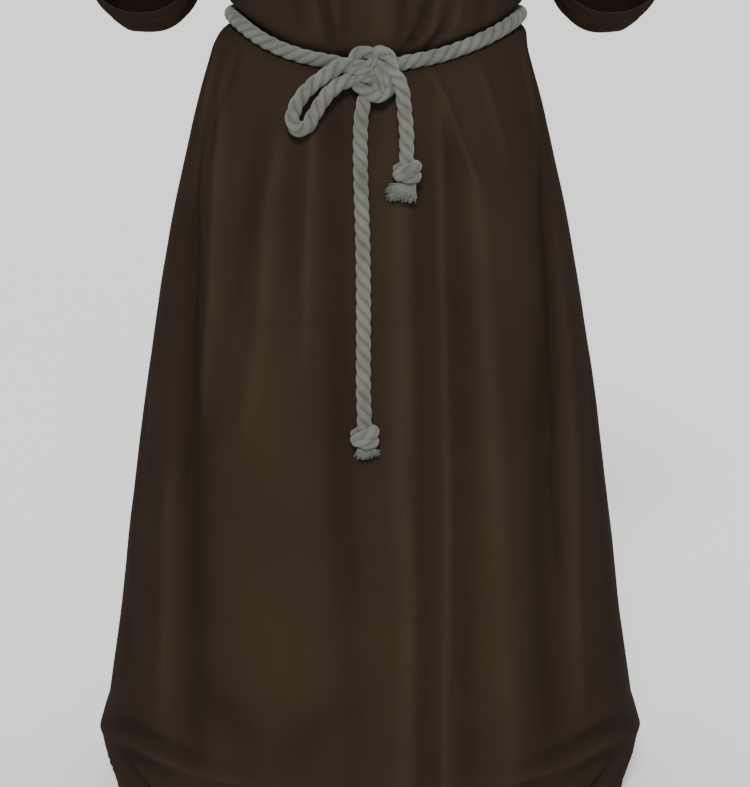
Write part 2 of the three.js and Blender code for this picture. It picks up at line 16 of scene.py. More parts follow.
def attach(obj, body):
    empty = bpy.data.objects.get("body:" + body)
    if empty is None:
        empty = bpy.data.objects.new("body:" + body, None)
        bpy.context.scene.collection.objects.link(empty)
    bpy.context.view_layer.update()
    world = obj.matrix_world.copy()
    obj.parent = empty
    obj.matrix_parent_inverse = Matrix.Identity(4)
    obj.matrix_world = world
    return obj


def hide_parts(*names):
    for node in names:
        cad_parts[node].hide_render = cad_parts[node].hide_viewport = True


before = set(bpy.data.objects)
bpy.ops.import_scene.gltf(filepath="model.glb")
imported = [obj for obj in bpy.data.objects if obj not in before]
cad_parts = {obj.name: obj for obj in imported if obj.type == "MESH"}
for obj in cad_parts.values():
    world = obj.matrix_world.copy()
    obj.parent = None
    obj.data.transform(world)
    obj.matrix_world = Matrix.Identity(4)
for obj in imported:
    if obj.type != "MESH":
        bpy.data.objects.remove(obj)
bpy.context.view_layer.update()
MM = 0.001
ROBE_LENGTH = 1480
print("nodes in the frame:", len(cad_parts))

# %% [markdown]
# The camera stands about 3.8 m in front of the robe and 1.25 m above the floor, a little above
# the belt, and looks down by ten degrees. That makes the hem bow downwards and shows the belt
# from slightly above. A long lens keeps the robe's sides nearly parallel, as a studio does.

# %% Camera
IMAGE = (750, 787)
FOCAL_PIXELS = 2781
SENSOR_WIDTH = 36
CAMERA_PLACE = (7, 3800, 1250)
CAMERA_DOWN = 10.36


def at(across, forward, height):
    """A point in metres from millimetres across, in front of the middle and above the hem."""
    return Vector((across * MM, -forward * MM, (height - ROBE_LENGTH) * MM))


camera_data = bpy.data.cameras.new("studio_camera")
camera = bpy.data.objects.new("studio_camera", camera_data)
bpy.context.scene.collection.objects.link(camera)
camera_data.sensor_width = SENSOR_WIDTH
camera_data.lens = FOCAL_PIXELS / max(IMAGE) * SENSOR_WIDTH
camera.location = at(*CAMERA_PLACE)
camera.rotation_euler = (math.radians(90 - CAMERA_DOWN), 0, 0)
bpy.context.scene.camera = camera
print("lens in mm:", round(camera_data.lens, 1))

# %% [markdown]
# The robe's skirt and bodice are one surface with a squarish round section that changes with
# height. A short table gives its half width and half depth, and a smooth curve runs through
# the rows. Panels are cut out of this surface, so they meet along their seams. A place on it
# is an angle round the robe, 0 at the front and growing to the picture's right, and a height
# above the hem. The cloth breaks outwards above the hem, and the rope pinches it at the waist.

# %% Body sections
Section = namedtuple("Section", "height half_width half_depth square")
BODY_SECTIONS = [
    Section(0, 354, 284, 2.2),
    Section(40, 362, 291, 2.2),
    Section(87, 372, 294, 2.2),
    Section(143, 366, 288, 2.2),
    Section(260, 349, 272, 2.2),
    Section(404, 332, 254, 2.25),
    Section(546, 313, 236, 2.3),
    Section(686, 291, 215, 2.3),
    Section(811, 269, 195, 2.3),
    Section(894, 250, 180, 2.3),
    Section(962, 234, 167, 2.3),
    Section(1030, 215, 154, 2.3),
    Section(1080, 203, 150, 2.35),
    Section(1130, 202, 149, 2.4),
    Section(1200, 207, 146, 2.5),
]
UNDERARM = 1200
SWAY_ASIDE = 8
SWAY_FROM, SWAY_FULL = 1030, 1076
BREAK_HEIGHT = 87
BREAK_OUT = 8
BREAK_ABOVE, BREAK_BELOW = 42, 60
BREAK_DROP = 7
BREAK_RISE, RISE_ASIDE, RISE_WIDTH = 20, 58, 17
BELT_SIDE, BELT_FRONT, BELT_SQUARE = 1080, 1019, 2.3
BELT_PINCH, BELT_SPREAD, BELT_FLAT = 22, 14, 15
ROPE_RADIUS, ROPE_OFF = 10, 4
WARP_FROM, WARP_FULL, WARP_FADE = 800, 1000, 1110


def mix(a, b, t):
    return a + (b - a) * t


def ease(t):
    t = min(1.0, max(0.0, t))
    return t * t * (3 - 2 * t)


def bell(away, width):
    """1 where away is 0, falling smoothly to almost nothing at twice the width."""
    return math.exp(-(away / width) ** 2)


def look_up(rows, column, height):
    """A column of a table at a height, on a smooth curve through its rows."""
    row = 0
    while row < len(rows) - 2 and height > rows[row + 1].height:
        row += 1

    def slope(a, b):
        rise = getattr(rows[b], column) - getattr(rows[a], column)
        return rise / (rows[b].height - rows[a].height)

    here = slope(row, row + 1)
    before = (slope(row - 1, row) + here) / 2 if row > 0 else here
    after = (slope(row + 1, row + 2) + here) / 2 if row < len(rows) - 2 else here
    span = rows[row + 1].height - rows[row].height
    t = min(1.0, max(0.0, (height - rows[row].height) / span))
    value = getattr(rows[row], column) + before * t * (1 - t) ** 2 * span
    value += (getattr(rows[row + 1], column) - getattr(rows[row], column)) * t * t * (3 - 2 * t)
    return value - after * t * t * (1 - t) * span


@lru_cache(maxsize=None)
def section_at(height):
    columns = ("half_width", "half_depth", "square")
    return Section(height, *[look_up(BODY_SECTIONS, column, height) for column in columns])


def unit_round(around, square):
    """Across and forward on a squarish round of half width 1; around is 0 at the front."""
    across = math.sin(around)
    forward = math.cos(around)
    reach = (abs(across) ** square + abs(forward) ** square) ** (-1 / square)
    return across * reach, forward * reach


def belt_height(around):
    if math.cos(around) <= 0:
        return BELT_SIDE
    across, _ = unit_round(around, BELT_SQUARE)
    return mix(BELT_FRONT, BELT_SIDE, across * across)


def degrees_aside(around):
    """Degrees from the front, the same for both sides."""
    return math.degrees(math.acos(math.cos(around)))


def break_height(around):
    """Height of the break above the hem: it dips at the front and rises over each gore's front."""
    dip = BREAK_DROP * max(0.0, math.cos(around)) ** 2
    return BREAK_HEIGHT - dip + BREAK_RISE * bell(degrees_aside(around) - RISE_ASIDE, RISE_WIDTH)


def row_height(around, height):
    """Rows bend down to follow the rope, and the break dips at the front."""
    rise = ease((height - WARP_FROM) / (WARP_FULL - WARP_FROM))
    fall = 1 - ease((height - WARP_FADE) / (UNDERARM - WARP_FADE))
    sag = (BELT_SIDE - belt_height(around)) * rise * fall
    near_break = 1 - ease(abs(height - BREAK_HEIGHT) / BREAK_HEIGHT)
    return height - sag + (break_height(around) - BREAK_HEIGHT) * near_break


print("section at the waist:", section_at(BELT_SIDE))

# %% [markdown]
# The folds are soft ridges and troughs laid over the surface. Each line says how wide
# a fold is and how far it stands out, with troughs negative, and then the points that it runs
# through from the top down, in degrees round the robe and height. The large ones are placed
# to look like the real robe's front, and the back has similar ones of its own.

# %% Folds
Fold = namedtuple("Fold", "up_around up_height low_around low_height width out")
FOLD_LINES = [
    # to the picture's right of the long front line
    (13, -6, [(16.1, 900), (14.9, 781), (13.3, 484), (12.1, 196), (11.6, 0)]),
    (9, 5.6, [(22.5, 990), (21.6, 935), (19.2, 781), (18.2, 561), (17.7, 404), (16.4, 247),
              (14.2, 0)]),
    (13, -5.5, [(25.8, 940), (25.4, 780), (23.1, 560), (22.1, 403), (21.3, 193), (20.1, 0)]),
    (6, 8, [(18.6, 1026), (25.2, 966), (31.4, 869)]),
    (17, 7.6, [(31.4, 869), (30.6, 740), (30.2, 558), (30.1, 380)]),
    (17, 5, [(30.1, 380), (29.6, 188), (29.7, 0)]),
    (25, -8, [(61, 860), (51.5, 640), (46.3, 554), (43, 395), (41.5, 235), (40, 110)]),
    # between the long front line and the rope's long end
    (17, 7.2, [(8, 980), (8.2, 640), (7.1, 484), (8.9, 327), (8.1, 197), (5.2, 0)]),
    (12, -7, [(-11, 965), (-9.6, 845), (-7.9, 640)]),
    (16, -8, [(-7.9, 640), (-6.6, 484), (-4.9, 328)]),
    (18, -4.5, [(-4.9, 328), (-3.9, 197), (-3.6, 0)]),
    # to the picture's left of the rope's long end
    (10, 7.5, [(-17.9, 985), (-16.8, 845), (-16.1, 640)]),
    (9, -3.5, [(-23.6, 950), (-21.5, 716)]),
    (13, 7.2, [(-26.8, 940), (-28.9, 844), (-27.7, 715), (-30.3, 545)]),
    (14, -5, [(-36, 950), (-36.5, 690)]),
    (25, -9, [(-60, 830), (-50.6, 640), (-46.6, 554), (-43.6, 395), (-41, 235), (-39, 110)]),
    (11, 6.8, [(-56, 990), (-50.1, 904), (-47.4, 840), (-44.1, 710), (-43.5, 560)]),
    (60, 4, [(-24, 660), (-20, 404), (-18.5, 170)]),
    # along the gore seams
    (8, -5, [(-64, 930), (-56.5, 771), (-50, 575), (-48.8, 440)]),
    (14, 7.2, [(-53, 470), (-50.4, 308), (-48.4, 170)]),
    (9, -5.6, [(65, 940), (58.8, 770), (54, 640), (48.6, 469), (48, 330)]),
    (14, 7.2, [(63, 800), (56, 560), (51.2, 308), (49.2, 170)]),
    (20, -3, [(-74, 560), (-70, 340), (-66, 180)]),
    (20, -3, [(74, 620), (69, 380), (67, 180)]),
    # the tucked hem
    (16, -9.9, [(-62, 70), (-50, 10)]),
    (14, 7.2, [(-78, 60), (-66, 0)]),
    (16, -9.9, [(61, 72), (51, 8)]),
    (14, 7.2, [(77, 62), (67, 0)]),
    (20, -6, [(-30, 66), (-22, 20)]),
    (30, -6, [(-37, 205), (-25, 118)]),
    (26, -5, [(-8, 190), (-15, 110)]),
    (18, -7.2, [(33, 70), (26, 16)]),
    # gathers above the rope
    (5, -8, [(-22, 1130), (-18.3, 1082), (-13.4, 1040)]),
    (4, -5, [(-12, 1150), (-10.8, 1040)]),
    (4, -6, [(10.4, 1150), (9.4, 1040)]),
    (5, -9, [(20, 1110), (17.3, 1074), (12, 1036)]),
    (5, -7, [(30, 1110), (25, 1066), (20.5, 1036)]),
    (6, 4, [(24, 1110), (21, 1070), (16.5, 1040)]),
    (16, 7.2, [(1, 1150), (3, 1040)]),
    (9, 4.3, [(-24, 1150), (-21, 1055)]),
    (9, -4.3, [(-34, 1150), (-29, 1060)]),
    (9, 4.3, [(32, 1150), (29, 1055)]),
    (10, -4.3, [(46, 1160), (41, 1065)]),
    # short folds under the rope
    (8, -5, [(-80, 1050), (-72, 900)]),
    (8, 5, [(-68, 1045), (-64, 900)]),
    (8, -4.3, [(-52, 1035), (-56, 890)]),
    (8, -5, [(79, 1050), (71, 900)]),
    (8, 5, [(67, 1045), (63, 890)]),
    (8, 4.3, [(39, 1020), (44, 900)]),
    # sides and back
    (28, 10.2, [(110, 1040), (118, 600), (124, 60)]),
    (24, -10.2, [(131, 1000), (136, 520), (138, 120)]),
    (28, 11.6, [(147, 1040), (152, 560), (151, 40)]),
    (20, -10.2, [(164, 990), (167, 640), (165, 150)]),
    (30, 10.2, [(179, 1040), (182, 520), (178, 30)]),
    (22, -11.6, [(197, 1000), (193, 560), (194, 110)]),
    (26, 11.6, [(212, 1040), (207, 600), (209, 40)]),
    (22, -10.2, [(229, 1000), (222, 560), (225, 190)]),
    (26, 8.7, [(249, 1035), (241, 560), (238, 60)]),
    (9, 5.1, [(128, 1050), (130, 900)]),
    (8, -5, [(141, 1055), (143, 900)]),
    (8, 5, [(156, 1060), (157, 930)]),
    (8, -5, [(173, 1060), (172, 880)]),
    (8, 5, [(188, 1060), (188, 930)]),
    (8, -5, [(203, 1055), (202, 890)]),
    (8, 5, [(219, 1055), (217, 910)]),
    (8, -5, [(236, 1050), (232, 900)]),
    (10, -5.8, [(158, 1180), (163, 1085)]),
    (10, 5.8, [(172, 1180), (174, 1085)]),
    (10, -5.8, [(202, 1180), (198, 1085)]),
    (10, 5.8, [(188, 1170), (186, 1085)]),
]


def fold_rows(lines):
    rows = []
    for width, out, points in lines:
        for upper, lower in zip(points, points[1:]):
            rows.append(Fold(upper[0], upper[1], lower[0], lower[1], width, out))
    return rows


FOLDS = fold_rows(FOLD_LINES)
FOLD_FADE = 90
FOLD_REACH = 3


def fold_out(around, height, girth):
    total = 0.0
    for fold in FOLDS:
        fade = min(FOLD_FADE, 0.9 * (fold.up_height - fold.low_height))
        if height > fold.up_height + fade or height < fold.low_height - fade:
            continue
        along = (height - fold.low_height) / (fold.up_height - fold.low_height)
        middle = math.radians(mix(fold.low_around, fold.up_around, min(1.0, max(0.0, along))))
        aside = around - middle
        aside -= 2 * math.pi * round(aside / (2 * math.pi))
        away = aside * girth / fold.width
        if abs(away) > FOLD_REACH:
            continue
        from_top = ease((fold.up_height - height) / fade + 0.5)
        from_foot = 1.0
        if fold.low_height > 0:
            from_foot = ease((height - fold.low_height) / fade + 0.5)
        total += fold.out * math.exp(-away * away) * from_top * from_foot
    return total


print("stretches of fold:", len(FOLDS))

# %% [markdown]
# The finished cloth has more than its folds: the hem is turned up and stitched, old packing
# creases cross the skirt, and nothing is perfectly even. Those small reliefs are added here.
# Near the gores the cloth also swells over the break: a hollow above it, a sharp ridge on it
# and a hollow below.

# %% Relief of the finished cloth
HEM_TURN, HEM_TURN_OUT = 26, 0.9
STITCH_DEPTH, STITCH_WIDTH = 0.7, 2.5
UNEVEN_SIZES = [(60, 1.5), (22, 0.5)]
CREASE_BOW, CREASE_WANDER, CREASE_WIDTH, CREASE_FADE = 17, 1.5, 4, 6
Crease = namedtuple("Crease", "height from_around to_around depth")
PACKING_CREASES = [
    Crease(668, -49, 12, 1.3),
    Crease(670, 92, 262, 1.1),
    Crease(310, -88, -47, 0.9),
    Crease(306, 50, 84, 0.9),
    Crease(304, 120, 228, 0.8),
]
Swell = namedtuple("Swell", "above height_spread aside aside_spread out")
BREAK_SWELLS = [
    Swell(17, 11, 52, 20, -8),
    Swell(-22, 12, 54, 12, -8),
    Swell(0, 6, 50, 30, 4),
]


def small_relief(around, height, girth):
    """The turned hem, the packing creases and the unevenness of the cloth, in millimetres."""
    turn = HEM_TURN_OUT * ease((HEM_TURN - height) / 3 + 0.5)
    turn -= STITCH_DEPTH * bell(height - HEM_TURN - 1, STITCH_WIDTH)
    sunk = 0.0
    turned = math.degrees(around)
    bowed = CREASE_BOW * max(0.0, math.cos(around)) ** 2 + CREASE_WANDER * math.sin(turned / 5)
    for crease in PACKING_CREASES:
        middle = (crease.from_around + crease.to_around) / 2
        aside = abs((turned - middle + 180) % 360 - 180)
        inside = ease(((crease.to_around - crease.from_around) / 2 - aside) / CREASE_FADE)
        sunk -= crease.depth * inside * bell(height - crease.height - bowed, CREASE_WIDTH)
    spot = Vector((math.sin(around) * girth, math.cos(around) * girth, height * 0.45))
    uneven = sum(rise * noise.noise(spot / size) for size, rise in UNEVEN_SIZES)
    return turn + sunk + uneven


def body_at(around, height, finished=True):
    """Outer face of skirt and bodice in millimetres, its outward direction and its relief."""
    section = section_at(height)
    across, forward = unit_round(around, section.square)
    outward = Vector((
        math.copysign(abs(across) ** (section.square - 1), across) / section.half_width,
        -math.copysign(abs(forward) ** (section.square - 1), forward) / section.half_depth,
        0,
    )).normalized()
    from_break = height - break_height(around)
    reach = BREAK_ABOVE if from_break > 0 else BREAK_BELOW
    out = BREAK_OUT * max(0.0, 1 - abs(from_break) / reach)
    from_belt = height - belt_height(around)
    out -= BELT_PINCH * bell(from_belt, BELT_SPREAD)
    relief = 0.0
    if finished:
        girth = (section.half_width + section.half_depth) / 2
        relief = fold_out(around, height, girth) + small_relief(around, height, girth)
        aside = degrees_aside(around)
        for swell in BREAK_SWELLS:
            near = bell(from_break - swell.above, swell.height_spread)
            relief += swell.out * near * bell(aside - swell.aside, swell.aside_spread)
    out += relief * (1 - bell(from_belt, BELT_FLAT))
    sway = SWAY_ASIDE * ease((height - SWAY_FROM) / (SWAY_FULL - SWAY_FROM))
    point = Vector((
        section.half_width * across + sway,
        -section.half_depth * forward,
        height - ROBE_LENGTH,
    ))
    return point + outward * out, outward, relief


print("half width at the hem, mm:", round(body_at(math.pi / 2, 0)[0].x, 1))

# %% [markdown]
# Rope comes next, because its free ends have to be settled before the looks. A smooth route
# runs through given points. The route is sampled evenly, and a frame is carried along it
# without twisting, so that the lay of the rope can be wound round it at its true pitch.

# %% Smooth routes
ROUTE_STEP = 0.0015
ROUTE_SAMPLES = 1500


def through(points, t):
    """A point on the centripetal curve through points, where t runs from 0 to 1."""
    place = (len(points) - 1) * t
    index = min(int(place), len(points) - 2)
    weight = place - index
    p1 = points[index]
    p2 = points[index + 1]
    p0 = points[index - 1] if index > 0 else 2 * p1 - p2
    p3 = points[index + 2] if index + 2 < len(points) else 2 * p2 - p1
    d0 = max((p1 - p0).length ** 0.5, 1e-4)
    d1 = max((p2 - p1).length ** 0.5, 1e-4)
    d2 = max((p3 - p2).length ** 0.5, 1e-4)
    t1 = ((p1 - p0) / d0 - (p2 - p0) / (d0 + d1) + (p2 - p1) / d1) * d1
    t2 = ((p2 - p1) / d1 - (p3 - p1) / (d1 + d2) + (p3 - p2) / d2) * d1
    bend = -3 * p1 + 3 * p2 - 2 * t1 - t2
    twist = 2 * p1 - 2 * p2 + t1 + t2
    return p1 + t1 * weight + bend * weight ** 2 + twist * weight ** 3


class Route:
    """A route in metres, sampled evenly, with a frame that doesn't twist."""

    def __init__(self, points):
        dense = [through(points, k / ROUTE_SAMPLES) for k in range(ROUTE_SAMPLES + 1)]
        runs = [0.0]
        for a, b in zip(dense, dense[1:]):
            runs.append(runs[-1] + (b - a).length)
        self.length = runs[-1]
        count = max(8, round(self.length / ROUTE_STEP))
        self.spots = []
        k = 0
        for step in range(count + 1):
            target = self.length * step / count
            while k < len(runs) - 2 and runs[k + 1] < target:
                k += 1
            share = (target - runs[k]) / max(runs[k + 1] - runs[k], 1e-9)
            self.spots.append(dense[k].lerp(dense[k + 1], min(1.0, share)))
        self.tangents = []
        for step in range(count + 1):
            low = self.spots[max(0, step - 1)]
            high = self.spots[min(count, step + 1)]
            self.tangents.append((high - low).normalized())
        normal = self.tangents[0].orthogonal().normalized()
        self.normals = [normal]
        for before, after in zip(self.tangents, self.tangents[1:]):
            normal = before.rotation_difference(after) @ normal
            normal = (normal - after * normal.dot(after)).normalized()
            self.normals.append(normal)
        self.count = count

    def frame_at(self, distance):
        place = min(max(distance / self.length, 0.0), 1.0) * self.count
        index = min(int(place), self.count - 1)
        share = place - index
        spot = self.spots[index].lerp(self.spots[index + 1], share)
        tangent = self.tangents[index].lerp(self.tangents[index + 1], share).normalized()
        normal = self.normals[index].lerp(self.normals[index + 1], share)
        normal = (normal - tangent * normal.dot(tangent)).normalized()
        return spot, tangent, normal, tangent.cross(normal)

    def points_between(self, start, end, spacing=0.012):
        count = max(4, round((end - start) / spacing))
        return [self.frame_at(mix(start, end, k / count))[0] for k in range(count + 1)]


print("a route is sampled every", ROUTE_STEP / MM, "mm")

# %% [markdown]
# Laid rope is three strands wound round each other. Its skin is modelled as one closed sheet:
# a flat grid from bmesh, rolled into a tube whose radius dips between the strands, with the
# dips winding along the rope once per lay. A grid keeps the faces square, gives a UV map in
# metres along the rope, and is closed afterwards with remove_doubles and edgeloop_fill.

# %% Rope skin
LAY_RADII = 5.4
STRANDS = 3
GROOVE = 0.73
STRAND_ROUNDNESS = 0.55
ROPE_AROUND = 36
ROPE_STEP = 0.0022
TAPERED = 0.75


def grid_sheet(bm, columns, rows, place, uv_size):
    """A bmesh grid, moved by place(u, v) with u and v from 0 to 1, with a UV map and its relief."""
    layers = bm.verts.layers.float
    relief_layer = layers.get("relief") or layers.new("relief")
    made = bmesh.ops.create_grid(bm, x_segments=columns, y_segments=rows, size=0.5)
    uv_layer = bm.loops.layers.uv.verify()
    corners = {vert: (vert.co.x + 0.5, vert.co.y + 0.5) for vert in made["verts"]}
    faces = {face for vert in made["verts"] for face in vert.link_faces}
    for face in faces:
        face.smooth = True
        for loop in face.loops:
            u, v = corners[loop.vert]
            loop[uv_layer].uv = (u * uv_size[0], v * uv_size[1])
    for vert, (u, v) in corners.items():
        vert.co, vert[relief_layer] = place(u, v)
    return made["verts"]


def close_tube(bm, verts):
    """Join the long edges of a rolled grid and fill its two open ends."""
    bmesh.ops.remove_doubles(bm, verts=verts, dist=1e-6)
    live = [vert for vert in verts if vert.is_valid]
    rims = [edge for vert in live for edge in vert.link_edges if edge.is_boundary]
    bmesh.ops.edgeloop_fill(bm, edges=list(dict.fromkeys(rims)))


def strand_radius(angle):
    """Radius of laid rope as a share of its outer radius, for an angle from a strand's crown."""
    crown = abs(math.cos(angle * STRANDS / 2))
    return GROOVE + (1 - GROOVE) * crown ** STRAND_ROUNDNESS


def add_rope(bm, route, start, end, radius, taper=0.0):
    """Skin of laid rope along a stretch of a route, closed at both ends; all in metres."""
    rows = max(4, round((end - start) / ROPE_STEP))
    girth = 2 * math.pi * radius
    lay = radius * LAY_RADII

    def place(u, v):
        distance = mix(start, end, v)
        spot, tangent, normal, side = route.frame_at(distance)
        angle = 2 * math.pi * u
        phase = angle + 2 * math.pi * distance / lay
        share = strand_radius(phase)
        size = radius * share
        edge = min(distance - start, end - distance)
        if taper > 0 and edge < taper:
            size *= mix(TAPERED, 1, math.sqrt(max(0.0, edge / taper)))
        return spot + (normal * math.cos(angle) + side * math.sin(angle)) * size, share

    close_tube(bm, grid_sheet(bm, ROPE_AROUND, rows, place, (girth, end - start)))


print("lay of the rope in mm:", ROPE_RADIUS * LAY_RADII)

# %% [markdown]
# Materials are needed by every piece, so they come before the pieces. One function turns the
# sRGB hex values into linear colour, and one small function adds a node with its settings.
# Cotton rope and cloth are both spun yarn, so their shaders end alike: a tone picks the colour,
# the relief attribute paints shade into the colour of hollows and a highlight onto ridges,
# and the yarns are raised a little. A wave texture's bands stand 0.314 apart at scale 1, so
# its scale is that over the yarn's real width.
# The last helper here turns a finished bmesh into an object that wears its materials.

# %% Material helpers
WAVE_REPEAT = 0.314


def linear(hex_value):
    channels = [int(hex_value[k:k + 2], 16) / 255 for k in (1, 3, 5)]
    return [c / 12.92 if c <= 0.04045 else ((c + 0.055) / 1.055) ** 2.4 for c in channels] + [1.0]


def add_node(tree, kind, settings=None, links=None):
    """Add a node; settings are attributes or input values, links are input to output socket."""
    node = tree.nodes.new(kind)
    for key, value in (settings or {}).items():
        if hasattr(node, str(key)) and not isinstance(key, int):
            setattr(node, key, value)
        else:
            node.inputs[key].default_value = value
    for key, output in (links or {}).items():
        tree.links.new(output, node.inputs[key])
    return node


def new_material(name):
    material = bpy.data.materials.new(name)
    material.use_nodes = True
    material.node_tree.nodes.clear()
    return material, material.node_tree


def finish_yarn(tree, tone, colours, relief_shade, yarns, yarn_bump, surface):
    """Join the tone and the yarns of a pattern to a matt surface; the colour gets painted shade in
    hollows and a painted highlight on ridges, by the relief attribute.
    """
    colour = add_node(tree, "ShaderNodeValToRGB", {}, {"Fac": tone})
    for element, (place, hex_value) in zip(colour.color_ramp.elements, colours):
        element.position = place
        element.color = linear(hex_value)
    relief = add_node(tree, "ShaderNodeAttribute", {"attribute_name": "relief"})
    # Painted shade and painted highlight: the colour is scaled by the relief attribute, darker in
    # hollows, lighter on ridges.
    shade = add_node(tree, "ShaderNodeMapRange", relief_shade, {"Value": relief.outputs["Fac"]})
    shaded = add_node(tree, "ShaderNodeVectorMath",
                      {"operation": "SCALE"},
                      {"Vector": colour.outputs["Color"], "Scale": shade.outputs["Result"]})
    bump = add_node(tree, "ShaderNodeBump", yarn_bump, {"Height": yarns})
    shader = add_node(tree, "ShaderNodeBsdfPrincipled", surface,
                      {"Base Color": shaded.outputs["Vector"], "Normal": bump.outputs["Normal"]})
    add_node(tree, "ShaderNodeOutputMaterial", {}, {"Surface": shader.outputs["BSDF"]})


def new_object(name, bm, *materials):
    mesh = bpy.data.meshes.new(name)
    bm.to_mesh(mesh)
    bm.free()
    for material in materials:
        mesh.materials.append(material)
    made = bpy.data.objects.new(name, mesh)
    bpy.context.scene.collection.objects.link(made)
    return made


print("middle grey as linear colour:", round(linear("#808080")[0], 3))

# %% [markdown]
# The rope is soft cotton, three strands of many fine yarns, undyed or washed to a grey white.
# Cotton yarn is matt with a faint fuzz, so roughness is high and there is a little sheen. The
# yarns, about a millimetre wide, show as fine lines along each strand. The lay's grooves get
# painted shade, and the strands' crowns a painted highlight.

# %% Cotton rope
ROPE_LIGHT = "#555650"
ROPE_SHADE = "#35362f"
YARN_WIDTH = 0.0011
YARN_SLANT = -12
# Painted shade in the lay's grooves and a painted highlight on the strands' crowns, as factors on the
# colour.
GROOVE_SHADE = 0.42
CROWN, CROWN_PAINTED_HIGHLIGHT = 0.97, 1.1


def cotton_material():
    material, tree = new_material("twisted_cotton")
    along_rope = {"Vector": add_node(tree, "ShaderNodeUVMap").outputs["UV"]}
    turned = add_node(tree, "ShaderNodeMapping",
                      {"Rotation": (0, 0, math.radians(YARN_SLANT))}, along_rope)
    yarns = add_node(tree, "ShaderNodeTexWave",
                     {"wave_type": "BANDS", "bands_direction": "X",
                      "Scale": WAVE_REPEAT / YARN_WIDTH,
                      "Distortion": 2.2, "Detail": 2.0, "Detail Scale": 1.5},
                     {"Vector": turned.outputs["Vector"]})
    in_space = {"Vector": add_node(tree, "ShaderNodeTexCoord").outputs["Object"]}
    fuzz = add_node(tree, "ShaderNodeTexNoise",
                    {"Scale": 900.0, "Detail": 3.0, "Roughness": 0.6}, in_space)
    patches = add_node(tree, "ShaderNodeTexNoise", {"Scale": 42.0, "Detail": 2.0}, in_space)
    relief = add_node(tree, "ShaderNodeMix",
                      {"data_type": "FLOAT", 0: 0.35},
                      {2: yarns.outputs["Fac"], 3: fuzz.outputs["Fac"]})
    tone = add_node(tree, "ShaderNodeMix",
                    {"data_type": "FLOAT", 0: 0.45},
                    {2: patches.outputs["Fac"], 3: relief.outputs[0]})
    shade = {"From Min": GROOVE, "From Max": CROWN, "To Min": GROOVE_SHADE, "To Max": CROWN_PAINTED_HIGHLIGHT}
    finish_yarn(tree, tone.outputs[0], [(0.25, ROPE_SHADE), (0.7, ROPE_LIGHT)], shade,
                relief.outputs[0], {"Strength": 0.55, "Distance": 0.0006},
                {"Roughness": 0.92, "Specular IOR Level": 0.2, "Sheen Weight": 0.15,
                 "Sheen Roughness": 0.6})
    return material


cotton = cotton_material()
print("yarns in the rope are drawn this wide, mm:", YARN_WIDTH / MM)

# %% [markdown]
# The rope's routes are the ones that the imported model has: the belt lies in the groove that it
# presses into the cloth, and the bow and the two ends hang from the knot. All the stretches
# are cut from whole routes, so the lay runs on unbroken from the knot into each end.

# %% Rope routes
BELT_AROUND = 13
BELT_STEPS = 34
BELT_INTO_KNOT = [(10, 166, 1012), (24, 153, 1017)]
BELT_STUB, BOW_STUB, SHORT_STUB, LONG_STUB, STOPPER_STUB = 22, 30, 14, 14, 4
BOW_ROUTE = [
    (-10, 180, 1016), (-24, 182, 1021), (-38, 183, 1019), (-55, 183, 1009), (-74, 183, 995),
    (-89, 183, 979), (-98, 183, 962), (-100, 184, 948), (-94, 184, 938), (-83, 184, 940),
    (-72, 183, 957), (-60, 183, 976), (-45, 183, 992), (-28, 183, 1001), (-10, 181, 1002),
]
SHORT_ROUTE = [
    (12, 180, 1008), (24, 186, 1011), (34, 190, 1006), (41, 192, 993), (44, 192, 975),
    (46, 193, 955), (48, 196, 932), (48, 200, 908), (49, 205, 880),
]
LONG_ROUTE = [
    (2, 178, 1000), (-4, 183, 985), (-8, 185, 970), (-11, 185, 950), (-12, 188, 910),
    (-11, 197, 860), (-9, 207, 800), (-8, 218.5, 730), (-8, 229, 660), (-8, 238, 600),
    (-7, 244, 572), (-6, 256, 540),
]


def belt_points():
    points = [at(*spot) for spot in BELT_INTO_KNOT]
    for k in range(BELT_STEPS + 1):
        around = math.radians(mix(BELT_AROUND, 360 - BELT_AROUND, k / BELT_STEPS))
        point, outward, _ = body_at(around, belt_height(around), finished=False)
        points.append((point + outward * (ROPE_RADIUS + ROPE_OFF)) * MM)
    points += [at(-across, forward, height) for across, forward, height in reversed(BELT_INTO_KNOT)]
    return points


belt_route = Route(belt_points())
bow_route = Route([at(*spot) for spot in BOW_ROUTE])
short_route = Route([at(*spot) for spot in SHORT_ROUTE])
long_route = Route([at(*spot) for spot in LONG_ROUTE])
radius = ROPE_RADIUS * MM
for route in (belt_route, bow_route, short_route, long_route):
    print("length of the route in mm:", round(route.length / MM))

# %% [markdown]
# Each hanging end stops in a tight knot and a frayed tip. The knot is two turns of the same
# rope pulled down hard. The tip is a brush of many thin curved yarns that spread from under
# the knot, each with only a few faces. Leans are degrees from straight down.

# %% Stopper knots and frayed tips
STOPPER_RING, STOPPER_TUBE = 11, 8.4
STOPPER_TILTS = (12, -16)
STOPPER_RISE, STOPPER_SPIRAL, STOPPER_START, STOPPER_POINTS = 9, 5, 2.4, 14
KNOT_TAPER = 0.006
Tuft = namedtuple("Tuft", "yarns length root_width left_lean right_lean forward_lean")
SHORT_TUFT = Tuft(560, 21, 11, 86, -3, 8)
LONG_TUFT = Tuft(240, 12, 9, 24, -72, 6)
TUFT_SPREAD = 0.62
TUFT_DEPTH, TUFT_DEEP_LEAN, TUFT_LEAN_POWER = 6, 16, 0.6
PLACE_SHARE, STREWN_SHARE = 0.64, 0.36
SHORTEST, RAGGED = 0.72, 0.4
ROOT_INSIDE, ROOT_BOW = 3, 2
YARN_RADIUS, YARN_THINS, YARN_CURL = 0.95, 0.4, 2.4
YARN_AROUND, YARN_ROWS, YARN_UV = 4, 3, (0.004, 0.02)
STREWN_STEPS = (0.618034, 0.754878, 0.569840, 0.324718)


